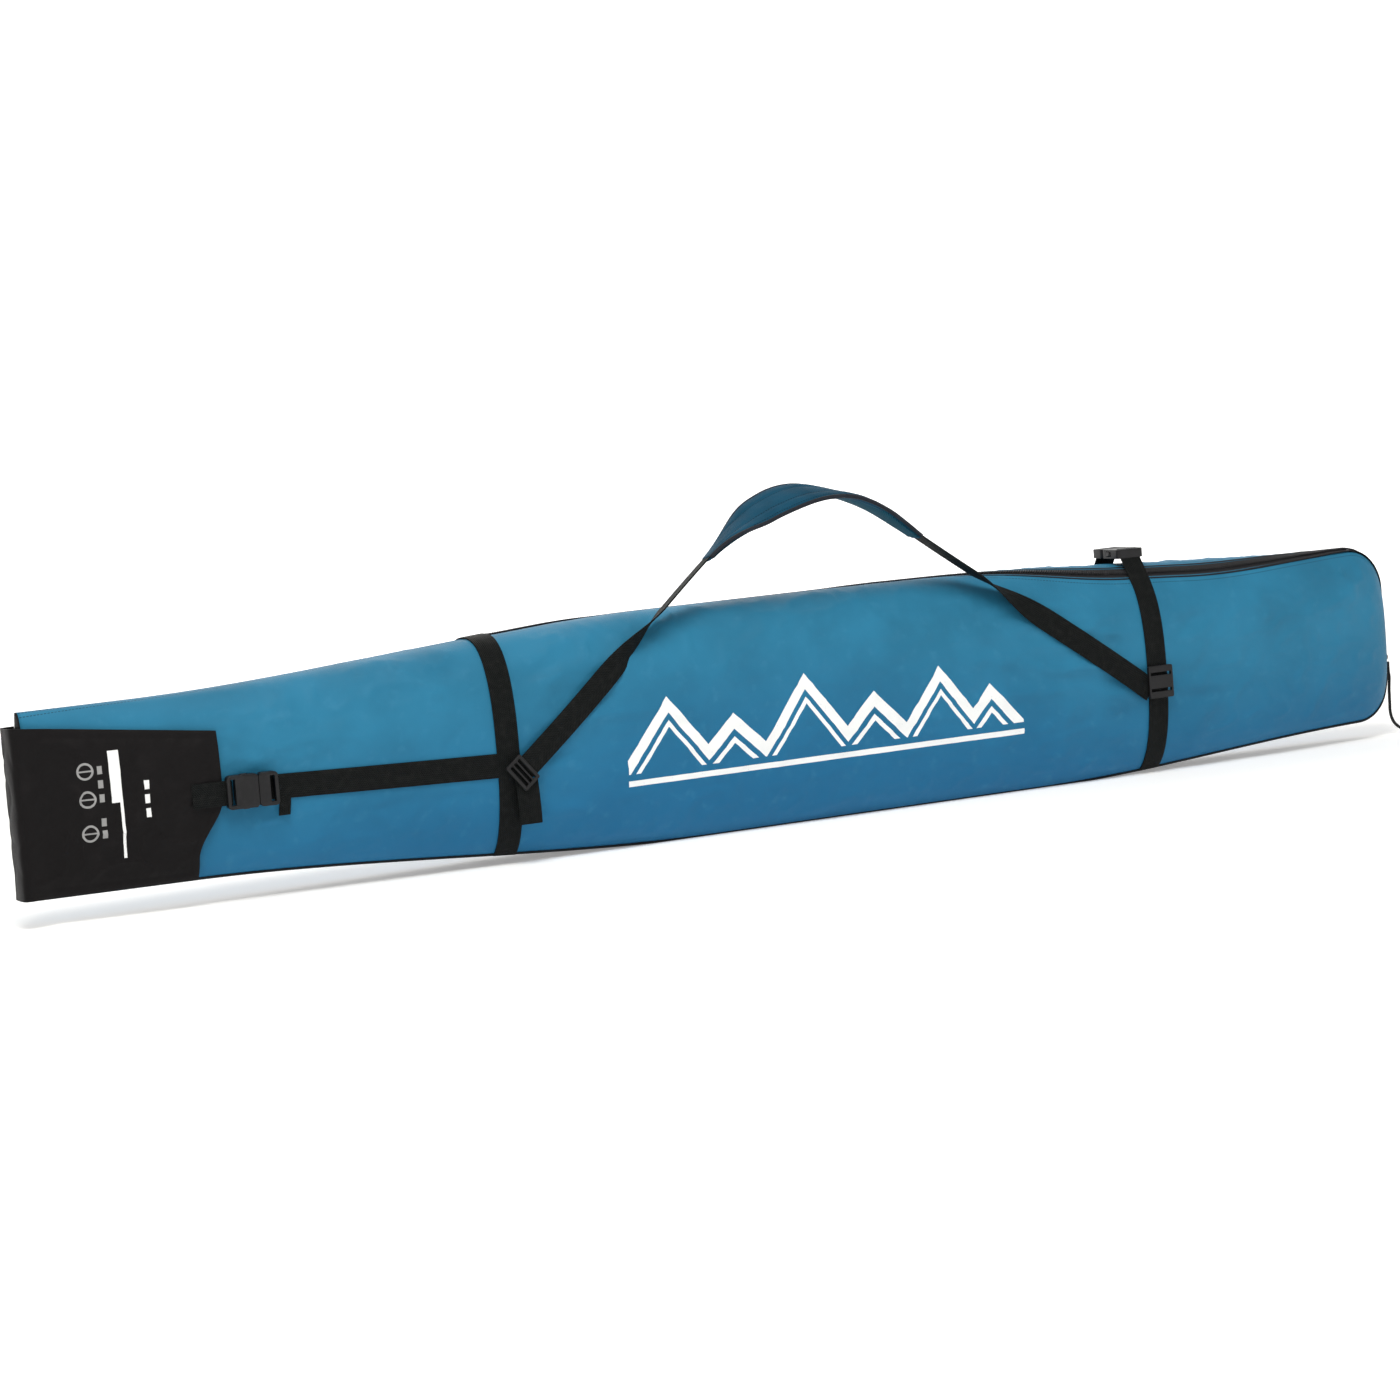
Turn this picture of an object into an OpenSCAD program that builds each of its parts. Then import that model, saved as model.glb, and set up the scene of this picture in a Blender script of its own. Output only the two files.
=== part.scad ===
// Soft ski bag for one pair of skis, lying on its long bottom edge.
// X runs along the bag from the folded tail (-X) to the tip (+X), the front face looks to -Y and +Z is up.
// The origin is the middle of the flat base strip that the bag rests on.

/* [Shell] */
// Length of the bag from the tail fold to the tip
bag_length = 1650; // [1380:5:1980]
// Height of the bag at its middle
bag_height = 243; // [205:1:292]
// Thickness of the filled bag at its middle
bag_thickness = 128; // [108:1:154]
// Fabric wall with its lining
wall = 2.5; // [2:0.1:3.2]
// Width of the flat base strip at the middle
base_width = 64; // [54:1:76]
// Thickness of the flattened tail
tail_thickness = 28; // [24:1:34]
// How far the top edge falls towards the tail
tail_drop = 29; // [10:1:36]
// How far the top edge falls towards the tip
tip_drop = 22; // [10:1:30]
// How far the bottom edge rises towards the tail
tail_rise = 28; // [18:1:34]
// How far the bottom edge rises towards the tip
tip_rise = 22; // [18:1:30]
// Radius of the two corners at the tip
corner_r = 50; // [40:1:60]

/* [Zip] */
// Place of the zip's closed end near the left ring strap
zip_start_x = -295; // [-310:1:-280]
// Gap between the panels that the zip fills
zip_gap = 16; // [14:0.5:19]
// Width of the closed row of teeth
teeth_width = 6; // [5:0.5:7]
// Thickness of the zip tape
tape_thickness = 1.2; // [1:0.1:1.5]
// Length of the slider body
slider_length = 22; // [18:1:26]
// Width of the slider body
slider_width = 12; // [10:0.5:12.5]
// Travel of the slider up the tip end
slider_travel = 66; // [30:1:68]

/* [Webbing] */
// Width of all the strap webbing
webbing_width = 25; // [20:1:30]
// Thickness of the webbing
webbing_thickness = 1.6; // [1.2:0.1:2]
// Space between the left ring strap and the start of the zip
left_ring_gap = 4.5; // [4:0.5:20]
// Place of the right ring strap
right_ring_x = 477; // [420:1:520]
// Height of the strap anchors on the front face
anchor_z = 97; // [85:1:110]

/* [Tail flap] */
// Length of the folded tail flap
flap_length = 208; // [170:1:250]
// Thickness of the folded flap
flap_thickness = 6; // [5:0.5:7]
// Height of the flap's upper edge at the fold
flap_top_fold = 200; // [180:1:205]
// Height of the flap's upper edge at its free end
flap_top_end = 176; // [160:1:190]
// Radius of the folded roll at the tail
roll_r = 7; // [6:0.5:8]

/* [Buckles] */
// Length of a closed side-release buckle
buckle_length = 53; // [48:1:60]
// Width of a buckle
buckle_width = 34; // [33:0.5:38]
// Thickness of a buckle
buckle_thickness = 10; // [9:0.5:12]
// Height of the tail buckle's middle
tail_buckle_z = 113; // [105:1:120]
// Clear height of the top buckle over the zip
top_buckle_lift = 6; // [4:0.5:10]

/* [Shoulder strap] */
// Width of the shoulder pad
pad_width = 50; // [40:1:60]
// Thickness of the pad's foam
foam_thickness = 7; // [5:0.5:10]
// Thickness of the pad's cover and lining
cover_thickness = 1.2; // [1:0.1:2]
// Height of the pad's ends
pad_end_z = 292; // [275:1:320]
// Height of the middle of the pad
pad_top_z = 352; // [330:1:380]
// Place of the pad's left end
pad_left_x = -62; // [-90:1:-40]
// Place of the pad's right end
pad_right_x = 196; // [170:1:230]

/* [Hidden] */

$fn = 32;

// Clearance between soft pieces of different bodies
body_gap = 0.5;
// Air between the skin and a strap that lies on it
lay_gap = 0.3;
// Exponent of the section's superellipse
section_power = 2.5;
// Points round one side of a section
section_steps = 14;
half_thick = bag_thickness / 2;
half_gap = zip_gap / 2;
tip_x = bag_length / 2;
fold_x = -bag_length / 2;
roll_x = fold_x + roll_r;
roll_y = -(tail_thickness / 2 + 3);
tail_wall_x = fold_x + 2 * roll_r + 1;
tail_x = tail_wall_x + wall;
corner_x = tip_x - corner_r;

// Lengths over which the ends taper
tail_full = 610;
tip_full = 425;
top_fall_start = 690;
top_fall_end = 110;
bot_rise_start = 750;
bot_rise_end = 160;
tip_fall_start = 605;
tip_fall_end = 25;
tip_rise_start = 495;
tip_rise_end = 35;

// Angles on the superellipse of the base seam and of the zip seam
base_angle = -acos(pow(base_width / bag_thickness, section_power / 2));
zip_angle = acos(pow(half_gap / half_thick, section_power / 2));
k_base = pow(abs(sin(base_angle)), 2 / section_power);
k_zip = pow(sin(zip_angle), 2 / section_power);

function clamp01(t) = min(1, max(0, t));
function ease(t) = let (c = clamp01(t)) c * c * (3 - 2 * c);
function ramp(x, from, to) = ease((x - from) / (to - from));

// Top and bottom edges of the bag along X
function top_line(x) = bag_height
    - tail_drop * (1 - ramp(x, tail_x + top_fall_end, tail_x + top_fall_start))
    - tip_drop * ramp(x, tip_x - tip_fall_start, tip_x - tip_fall_end);
function bot_line(x) =
    tail_rise * (1 - ramp(x, tail_x + bot_rise_end, tail_x + bot_rise_start))
    + tip_rise * ramp(x, tip_x - tip_rise_start, tip_x - tip_rise_end);

// Half the thickness of the bag along X
function tail_part(x) = let (t = clamp01((tail_x + tail_full - x) / tail_full))
    (half_thick - tail_thickness / 2) * pow(t, 1.8);
function tip_part(x) = let (t = clamp01((x - tip_x + tip_full) / tip_full))
    (half_thick - half_gap) * (1 - pow(1 - pow(t, 2.2), 1 / 2.2));
function half_t(x) = half_thick - tail_part(x) - tip_part(x);

// A station is [x, angle]: the angle is over 0 round the corners of the tip.
// o is the distance outside the outer face of the fabric.
function st_x(st, o) = st[1] > 0 ? corner_x + (corner_r + o) * sin(st[1]) : st[0];
function st_top(st, o) = st[1] > 0
    ? top_line(corner_x) - corner_r + (corner_r + o) * cos(st[1])
    : top_line(st[0]) + o;
function st_bot(st, o) = st[1] > 0
    ? bot_line(corner_x) + corner_r - (corner_r + o) * cos(st[1])
    : bot_line(st[0]) - o;
function st_h(st, o) = (st_top(st, o) - st_bot(st, o)) / (k_base + k_zip);
function st_mid(st, o) = st_bot(st, o) + k_base * st_h(st, o);
// The panels never come closer to the bag's middle than the zip's gap, less half the wall inside
function side_limit(o) = half_gap + min(0, o) / 2;
function st_base(st, o) = max(side_limit(o), (half_t(st[0]) + o) * base_width / bag_thickness);

// Point of the front skin at angle a on a station's section
function skin(st, a, o) = [
    st_x(st, o),
    -max(side_limit(o), (half_t(st[0]) + o) * pow(cos(a), 2 / section_power)),
    st_mid(st, o) + sign(a) * st_h(st, o) * pow(abs(sin(a)), 2 / section_power)
];

// Y of the front skin at a given X and Z
function skin_y(x, z, o) = let (u = clamp01(abs(z - st_mid([x, 0], o)) / st_h([x, 0], o)))
    -max(side_limit(o), (half_t(x) + o) * pow(1 - pow(u, section_power), 1 / section_power));

function stations(from, to, steps) = [for (i = [0:steps]) [from + (to - from) * i / steps, 0]];
function corner_stations(steps) = [
    for (i = [1:steps]) let (g = 90 * i / steps) [corner_x + corner_r * sin(g), g]
];
function angles(from, to, steps) = [for (i = [0:steps]) from + (to - from) * i / steps];
tail_sts = stations(tail_x, zip_start_x, 12);
main_sts = stations(zip_start_x, corner_x, 22);
tip_sts = corner_stations(8);
side_angles = angles(base_angle, zip_angle, section_steps);

function reversed(v) = [for (i = [len(v) - 1:-1:0]) v[i]];
function tail_of(v) = [for (i = [1:len(v) - 1]) v[i]];
function quad(a, b, c, d) = [[a, b, c], [a, c, d]];
function mix(a, b, t) = a + (b - a) * t;

// Closed sheet between an outer and an inner grid of points; the outer side looks along row x column
module sheet(outer, inner, closed = false) {
    rows = len(outer);
    m = len(outer[0]);
    n = rows * m;
    cols = closed ? m : m - 1;
    ends = closed ? [] : concat(
        [for (i = [0:rows - 2]) each quad(i * m, (i + 1) * m, n + (i + 1) * m, n + i * m)],
        [for (i = [0:rows - 2]) let (a = i * m + m - 1, b = a + m) each quad(b, a, n + a, n + b)]
    );
    faces = concat(
        [for (i = [0:rows - 2]) for (j = [0:cols - 1]) let (a = i * m + j, b = i * m + (j + 1) % m)
            each concat(quad(a, b, b + m, a + m), quad(n + a, n + a + m, n + b + m, n + b))],
        [for (j = [0:cols - 1]) let (b = (j + 1) % m) each quad(b, j, n + j, n + b)],
        [for (j = [0:cols - 1]) let (a = (rows - 1) * m + j, b = (rows - 1) * m + (j + 1) % m)
            each quad(a, b, n + b, n + a)],
        ends
    );
    polyhedron(points = [each for (r = outer) r, each for (r = inner) r], faces = faces);
}

// Flat piece that lies across an XZ outline and runs along Y
module across(y_from, y_to) {
    translate([0, y_to, 0]) rotate([90, 0, 0]) linear_extrude(y_to - y_from) children();
}

// Box given by its lowest corner and its highest corner
module block(low, high) {
    translate(low) cube(high - low);
}

// Front half of the skin over a list of stations
module skin_panel(sts, o_from, o_to) {
    sheet(
        [for (st = sts) [for (a = side_angles) skin(st, a, o_to)]],
        [for (st = sts) [for (a = side_angles) skin(st, a, o_from)]]
    );
}

module front_panel() {
    color("steelblue") skin_panel(concat(tail_sts, tail_of(main_sts), tip_sts), -wall, 0);
}

module back_panel() {
    color("steelblue") mirror([0, 1, 0]) skin_panel(concat(main_sts, tip_sts), -wall, 0);
}

module back_tail_panel() {
    sts = stations(tail_x, zip_start_x - body_gap, 12);
    color("steelblue") mirror([0, 1, 0]) skin_panel(sts, -wall, 0);
}

// Back edge of the base: sewn to the back tail panel, and clear of the opening back panel
function base_back(st, o) = st[0] < zip_start_x ? st_base(st, o) : st_base(st, -wall) - body_gap;
function base_row(st, o) = [for (t = [0, 0.5, 1])
    [st_x(st, o), mix(base_back(st, o), -st_base(st, o), t), st_bot(st, o)]];

module base_panel() {
    sts = concat(tail_sts, tail_of(main_sts), tip_sts);
    color("dimgray") sheet([for (st = sts) base_row(st, 0)], [for (st = sts) base_row(st, -wall)]);
}

module tail_top_panel() {
    sts = stations(tail_x, zip_start_x - body_gap, 12);
    color("steelblue") sheet(
        [for (st = sts) [for (y = [-half_gap, half_gap]) [st[0], y, st_top(st, 0)]]],
        [for (st = sts) [for (y = [-1, 1]) [st[0], y * side_limit(-wall), st_top(st, -wall)]]]
    );
}

// Closed loop of section points at a station, front going up, back coming down
function loop_points(st, o) = let (front = [for (a = side_angles) skin(st, a, o)])
    concat(front, [for (p = reversed(front)) [p[0], -p[1], p[2]]]);

module tail_end_panel() {
    pts = loop_points([tail_x, 0], 0);
    color("dimgray") translate([tail_wall_x, 0, 0]) rotate([90, 0, 90])
        linear_extrude(wall) polygon([for (p = pts) [p[1], p[2]]]);
}

// Zip path along the top edge, round the upper corner and down the tip end
zip_end_z = bot_line(corner_x) + corner_r + 2;
function zip_path(o) = concat(
    [for (st = concat(main_sts, tip_sts)) [st_x(st, o), st_top(st, o)]],
    [[tip_x + o, zip_end_z]]
);
module zip_band(y_from, y_to, o_from, o_to) {
    across(y_from, y_to) polygon(concat(zip_path(o_to), reversed(zip_path(o_from))));
}

// The slider's blade runs in this gap between the two halves of the teeth
teeth_gap = 1.5;
teeth_rise = 1;
teeth_sink = 1.4;
module zip_tape() {
    color("black") zip_band(-half_gap, -teeth_width / 2, -tape_thickness, 0);
}
module zip_teeth() {
    color("gray") zip_band(-teeth_width / 2, -teeth_gap / 2, -teeth_sink, teeth_rise);
}
module front_zip_tape() {
    zip_tape();
}
module front_zip_teeth() {
    zip_teeth();
}
module back_zip_tape() {
    mirror([0, 1, 0]) zip_tape();
}
module back_zip_teeth() {
    mirror([0, 1, 0]) zip_teeth();
}

stop_size = 3;
module zip_start_stop() {
    z = top_line(zip_start_x);
    color("silver") block(
        [zip_start_x - stop_size - body_gap, -teeth_width / 2, z],
        [zip_start_x - body_gap, teeth_width / 2, z + teeth_rise + 0.5]
    );
}
module zip_end_stop() {
    color("silver") block(
        [tip_x, -teeth_width / 2 - stop_size, zip_end_z],
        [tip_x + teeth_rise + 0.5, -teeth_width / 2, zip_end_z + stop_size]
    );
}

// Slider: two plates either side of the teeth, joined by a blade in the gap, with a bridge for the cord
slider_z = zip_end_z + stop_size + 2;
plate_thickness = 1.8;
plate_gap = 0.6;
blade_length = 6;
outer_plate_x = tip_x + teeth_rise + plate_gap;
inner_plate_x = tip_x - teeth_sink - plate_gap;
bridge_x = outer_plate_x + plate_thickness;
bridge_z = slider_z + slider_length / 2;
bridge_r = 5;
bridge_hole_r = 2.4;
module slider_plate(x) {
    translate([x, 0, 0]) rotate([90, 0, 90]) linear_extrude(plate_thickness)
        hull() {
            translate([0, slider_z + slider_width / 2]) circle(slider_width / 2);
            translate([-slider_width * 0.35, slider_z + slider_length - 1])
                square([slider_width * 0.7, 1]);
        }
}
module zip_slider() {
    color("silver") {
        slider_plate(outer_plate_x);
        slider_plate(inner_plate_x - plate_thickness);
        block(
            [inner_plate_x - plate_thickness / 2, -0.4, slider_z + 2],
            [outer_plate_x + plate_thickness / 2, 0.4, slider_z + 2 + blade_length]
        );
        difference() {
            translate([bridge_x, 2, bridge_z]) rotate([90, 0, 0]) cylinder(r = bridge_r, h = 4);
            translate([bridge_x, 4, bridge_z]) rotate([90, 0, 0]) cylinder(r = bridge_hole_r, h = 8);
            block(
                [inner_plate_x, -5, bridge_z - 2 * bridge_r],
                [outer_plate_x + plate_thickness / 2, 5, bridge_z + 2 * bridge_r]
            );
        }
    }
}

// Pull cord: from the slider's bridge down past the lower corner to the floor
cord_r = 1.75;
cord_sides = 8;
cord_points = [
    [834, 0, 84], [834, 0, 79], [834, 0, 73], [834, -1, 66], [833, -1.5, 59], [832, -2, 52],
    [831.5, -2.5, 46], [831, -3, 40], [830.5, -3.5, 34], [830, -4, 28.5], [830, -5, 23], [831, -5.5, 18.5],
    [833, -6, 14], [836, -7, 10], [840, -7.5, 7], [845, -8, 5], [852, -8, 4.3]
];
function unit(v) = v / norm(v);
function cord_dir(i) = unit(cord_points[min(i + 1, len(cord_points) - 1)] - cord_points[max(i - 1, 0)]);
function cord_ring(i) = let (d = cord_dir(i), s = unit(cross(d, [0, 1, 0])), u = cross(s, d))
    [for (k = [0:cord_sides - 1]) let (a = 360 * k / cord_sides)
        cord_points[i] + cord_r * (cos(a) * s + sin(a) * u)];
module pull_cord() {
    n = len(cord_points);
    m = cord_sides;
    color("black") polyhedron(
        points = [for (i = [0:n - 1]) each cord_ring(i)],
        faces = concat(
            [[for (k = [0:m - 1]) m - 1 - k]],
            [[for (k = [0:m - 1]) (n - 1) * m + k]],
            [for (i = [0:n - 2]) for (k = [0:m - 1]) let (l = (k + 1) % m)
                each [[i * m + k, i * m + l, (i + 1) * m + l], [i * m + k, (i + 1) * m + l, (i + 1) * m + k]]]
        )
    );
}
cord_end_r = 4;
cord_end_length = 22;
module pull_cord_end() {
    end = cord_points[len(cord_points) - 1];
    color("black") translate(end) rotate([0, 90, 0]) {
        cylinder(r = cord_end_r, h = cord_end_length - cord_end_r);
        translate([0, 0, cord_end_length - cord_end_r]) sphere(cord_end_r);
    }
}

left_ring_x = zip_start_x - left_ring_gap - webbing_width / 2;
// Rows of a strap of the webbing's width that crosses the bag at a given X
function strap_xs(x) = [for (t = [-1, 0, 1]) x + t * webbing_width / 2];
lay_low = lay_gap;
lay_high = lay_gap + webbing_thickness;

module left_ring_strap() {
    color("darkslategray") sheet(
        [for (x = strap_xs(left_ring_x)) loop_points([x, 0], lay_high)],
        [for (x = strap_xs(left_ring_x)) loop_points([x, 0], lay_low)],
        closed = true
    );
}

// The right ring leaves the skin near the top and rises to the slot of the top buckle
top_buckle_z = top_line(right_ring_x) + teeth_rise + top_buckle_lift;
slot_inset = 6;
slot_width = 5;
slot_y = buckle_length / 2 - slot_inset;
ring_steps = 11;
function ring_angles(from) = concat([from], [for (i = [1:ring_steps]) side_angles[i]]);
// The ring strap leaves the skin this far outside the slot, and this far above the skin
rise_start_y = slot_y + 14;
rise_clearance = 3;
function skin_top(x, y, o) = let (t = half_t(x) + o)
    st_mid([x, 0], o) + st_h([x, 0], o) * pow(1 - pow(y / t, section_power), 1 / section_power);
function rise_points(x, o) = [
    [x, -rise_start_y - 0.8 * o, skin_top(x, rise_start_y, 0) + rise_clearance + 0.6 * o],
    [x, -slot_y - 0.7 * o + 0.7 * lay_low + 0.3, top_buckle_z - 1 + 0.6 * o],
    [x, -slot_y - 0.7 * o + 0.7 * lay_low + 0.3, top_buckle_z + buckle_thickness / 2 + 0.6 * o]
];
function ring_side(x, o, from) = concat([for (a = ring_angles(from)) skin([x, 0], a, o)], rise_points(x, o));
function ring_under(x, o) = let (st = [x, 0]) [
    [x, st_base(st, -wall) - 2, st_bot(st, o)],
    [x, 0, st_bot(st, o)]
];
module right_ring_strap_front() {
    color("darkslategray") sheet(
        [for (x = strap_xs(right_ring_x)) concat(ring_under(x, lay_high), ring_side(x, lay_high, base_angle))],
        [for (x = strap_xs(right_ring_x)) concat(ring_under(x, lay_low), ring_side(x, lay_low, base_angle))]
    );
}
back_ring_from = base_angle + 6;
module right_ring_strap_back() {
    color("darkslategray") mirror([0, 1, 0]) sheet(
        [for (x = strap_xs(right_ring_x)) ring_side(x, lay_high, back_ring_from)],
        [for (x = strap_xs(right_ring_x)) ring_side(x, lay_low, back_ring_from)]
    );
}

// Side-release buckle, drawn along X with its mouth at mouth_x, its width along Z and its back at Y = 0.
// The socket is on the -X side and the plug on the +X side.
mouth_x = 6;
plug_gap = 0.4;
socket_wall = 2;
cavity_depth = 22;
prong_thickness = buckle_thickness - 2 * socket_wall - 1.4;
prong_width = 3.4;
barb_length = 7;
window_length = 9;
corner_round = 4;
module buckle_outline(x_from, x_to) {
    translate([x_from, 0, 0]) rotate([90, 0, 0]) linear_extrude(buckle_thickness)
        hull() for (x = [corner_round, x_to - x_from - corner_round], z = [-1, 1])
            translate([x, z * (buckle_width / 2 - corner_round)]) circle(corner_round);
}
// Box centred on Z, with Y measured outwards from the buckle's back
module buckle_cut(x_from, x_to, y_from, y_to, width) {
    translate([x_from, -y_to, -width / 2]) cube([x_to - x_from, y_to - y_from, width]);
}
module webbing_slot(x) {
    buckle_cut(x - slot_width / 2, x + slot_width / 2, -1, buckle_thickness + 1, webbing_width + 1.4);
}
module buckle_socket() {
    x_from = -buckle_length / 2;
    difference() {
        buckle_outline(x_from, mouth_x);
        webbing_slot(x_from + slot_inset);
        buckle_cut(
            mouth_x - cavity_depth, mouth_x + 1,
            socket_wall, buckle_thickness - socket_wall, buckle_width - 2 * socket_wall
        );
        buckle_cut(
            mouth_x - cavity_depth + 4, mouth_x - cavity_depth + 4 + window_length,
            socket_wall, buckle_thickness - socket_wall, buckle_width + 2
        );
    }
}
module buckle_plug() {
    x_to = buckle_length / 2;
    difference() {
        buckle_outline(mouth_x + plug_gap, x_to);
        webbing_slot(x_to - slot_inset);
    }
}
module buckle_prongs() {
    y_from = (buckle_thickness - prong_thickness) / 2;
    y_to = y_from + prong_thickness;
    tip = mouth_x - cavity_depth + 2;
    barb_x = mouth_x - cavity_depth + 5;
    side = buckle_width / 2 - socket_wall - 0.6;
    for (s = [-1, 1]) {
        scale([1, 1, s]) {
            translate([tip, -y_to, side - prong_width])
                cube([mouth_x + plug_gap - tip, prong_thickness, prong_width]);
            translate([barb_x, -y_to, side - 0.5])
                cube([barb_length, prong_thickness, socket_wall + 2]);
        }
    }
    translate([tip + 3, -y_to, -prong_width / 2])
        cube([mouth_x + plug_gap - tip - 3, prong_thickness, prong_width]);
}

// The top buckle lies across the zip, with its socket on the front
module top_buckle_place() {
    translate([right_ring_x, 0, top_buckle_z]) rotate([-90, 0, 90]) children();
}
module top_buckle_socket() {
    color("black") top_buckle_place() buckle_socket();
}
module top_buckle_plug() {
    color("black") top_buckle_place() buckle_plug();
}
module top_buckle_prongs() {
    color("black") top_buckle_place() buckle_prongs();
}

// The tail buckle lies along the front face, turned to follow the skin
flap_end_x = roll_x + flap_length - roll_r;
tail_buckle_x = flap_end_x + buckle_length / 2 + 3;
tail_tilt = atan((half_t(tail_buckle_x + 20) - half_t(tail_buckle_x - 20)) / 40);
tail_buckle_y = -(half_t(tail_buckle_x) + 4);
module tail_buckle_place() {
    translate([tail_buckle_x, tail_buckle_y, tail_buckle_z]) rotate([0, 0, -tail_tilt]) children();
}
module tail_buckle_socket() {
    color("black") tail_buckle_place() buckle_socket();
}
module tail_buckle_plug() {
    color("black") tail_buckle_place() buckle_plug();
}
module tail_buckle_prongs() {
    color("black") tail_buckle_place() buckle_prongs();
}

// Band of webbing that lies on the front skin between two places, a row for each X
function lay_rows(x_from, x_to, z_from, z_to, steps, width, o) = [
    for (i = [0:steps]) let (t = i / steps, x = mix(x_from, x_to, t), z = mix(z_from, z_to, t))
        [for (s = [-0.5, 0, 0.5]) [x, skin_y(x, z + s * width, o), z + s * width]]
];
module lay_band(x_from, x_to, z_from, z_to, steps, width, o_from, o_to) {
    sheet(
        lay_rows(x_from, x_to, z_from, z_to, steps, width, o_to),
        lay_rows(x_from, x_to, z_from, z_to, steps, width, o_from)
    );
}

tail_strap_from = tail_buckle_x + buckle_length / 2 - slot_inset;
module tail_strap() {
    color("darkslategray") lay_band(
        tail_strap_from, left_ring_x - webbing_width / 2,
        tail_buckle_z, anchor_z + 9, 10, webbing_width, lay_low, lay_high
    );
}
strap_end_length = 16;
strap_end_width = 12;
module tail_strap_end() {
    x = tail_buckle_x + buckle_length / 2 + 3;
    z = tail_buckle_z - webbing_width / 2 - strap_end_length / 2 - 1;
    color("darkslategray") lay_band(x, x + strap_end_width, z, z, 2, strap_end_length, lay_low, lay_high);
}

// Tail flap: from the fold roll forwards over the front face, cut back along its lower end
flap_gap = 1;
flap_foot = 3;
flap_cut_back = 27;
flap_cut_z = 110;
flap_steps = 12;
flap_rise_steps = 10;
function flap_end_at(z) = flap_end_x - flap_cut_back * ease((flap_cut_z - z) / 60);
function flap_point(t, v, o) = let (
        x_guess = mix(roll_x, flap_end_x, t),
        low = bot_line(x_guess) + flap_foot,
        z = mix(low, mix(flap_top_fold, flap_top_end, t), v),
        x = mix(roll_x, flap_end_at(z), t),
        y_roll = roll_y - roll_r + (flap_gap + flap_thickness - o)
    ) [x, mix(y_roll, skin_y(max(x, tail_x), z, o), ease(t / 0.2)), z];
module tail_flap() {
    color("black") sheet(
        [for (i = [0:flap_steps]) [for (j = [0:flap_rise_steps])
            flap_point(i / flap_steps, j / flap_rise_steps, flap_gap + flap_thickness)]],
        [for (i = [0:flap_steps]) [for (j = [0:flap_rise_steps])
            flap_point(i / flap_steps, j / flap_rise_steps, flap_gap)]]
    );
}
module tail_fold_roll() {
    low = bot_line(roll_x) + flap_foot;
    color("black") translate([roll_x, roll_y, low]) difference() {
        cylinder(r = roll_r, h = flap_top_fold - low);
        translate([0, -2 * roll_r, -1]) cube([2 * roll_r, 4 * roll_r, flap_top_fold]);
    }
}
module tail_flap_tab() {
    color("darkslategray") lay_band(
        flap_end_x - 32, tail_buckle_x - buckle_length / 2 + slot_inset,
        tail_buckle_z, tail_buckle_z, 3, webbing_width,
        flap_gap + flap_thickness, flap_gap + flap_thickness + webbing_thickness
    );
}

// Hardware on the front of the ring straps
hardware_y = -half_thick - lay_high - 0.4;
hardware_thickness = 4;
lock_length = 22;
left_anchor_x = left_ring_x + 11;
right_anchor_x = right_ring_x - 14;
// Direction of the two legs of the shoulder strap in the XZ plane
left_leg = unit([pad_left_x - left_anchor_x, 0, pad_end_z - anchor_z]);
right_leg = unit([pad_right_x - right_anchor_x, 0, pad_end_z - anchor_z]);
left_leg_angle = atan2(left_leg[2], left_leg[0]);
module lock_frame(length, width, bars) {
    rotate([90, 0, 0]) linear_extrude(hardware_thickness) difference() {
        hull() for (x = [-1, 1], y = [-1, 1])
            translate([x * (length / 2 - 2), y * (width / 2 - 2)]) circle(2);
        for (x = bars) translate([x - 1.75, -webbing_width / 2 - 0.7]) square([3.5, webbing_width + 1.4]);
    }
}
module left_ladder_lock() {
    color("black") translate([left_anchor_x, hardware_y - webbing_thickness, anchor_z])
        rotate([0, -left_leg_angle, 0]) lock_frame(lock_length, webbing_width + 8, [-5.5, 0, 5.5]);
}
module left_anchor_tab() {
    color("darkslategray") translate([left_anchor_x, hardware_y, anchor_z]) rotate([0, -left_leg_angle, 0])
        block([-9, -webbing_thickness, -webbing_width / 2], [9, 0, webbing_width / 2]);
}
strap_tail_length = 34;
// The loose end stays this far below the lock, which tilts to let the strap through
strap_tail_drop = 9;
module left_strap_tail() {
    z = anchor_z - lock_length / 2 - strap_tail_drop;
    color("darkslategray") block(
        [left_anchor_x - webbing_width / 2 + 5, hardware_y - webbing_thickness, z - strap_tail_length],
        [left_anchor_x + webbing_width / 2 + 5, hardware_y, z]
    );
}
glide_height = 36;
module right_tri_glide() {
    color("black") translate([right_ring_x, hardware_y - webbing_thickness, anchor_z + 7])
        rotate([0, 90, 0]) lock_frame(glide_height, webbing_width + 6, [-9, 9]);
}
module right_anchor_tab() {
    color("darkslategray") block(
        [right_ring_x - 11, hardware_y - webbing_thickness, anchor_z - 2],
        [right_ring_x + 11, hardware_y, anchor_z + 16]
    );
}

// Shoulder strap: each leg leaves the anchor flat on the face and turns across at the pad
strap_y_low = hardware_y - webbing_thickness - 1.4;
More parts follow.
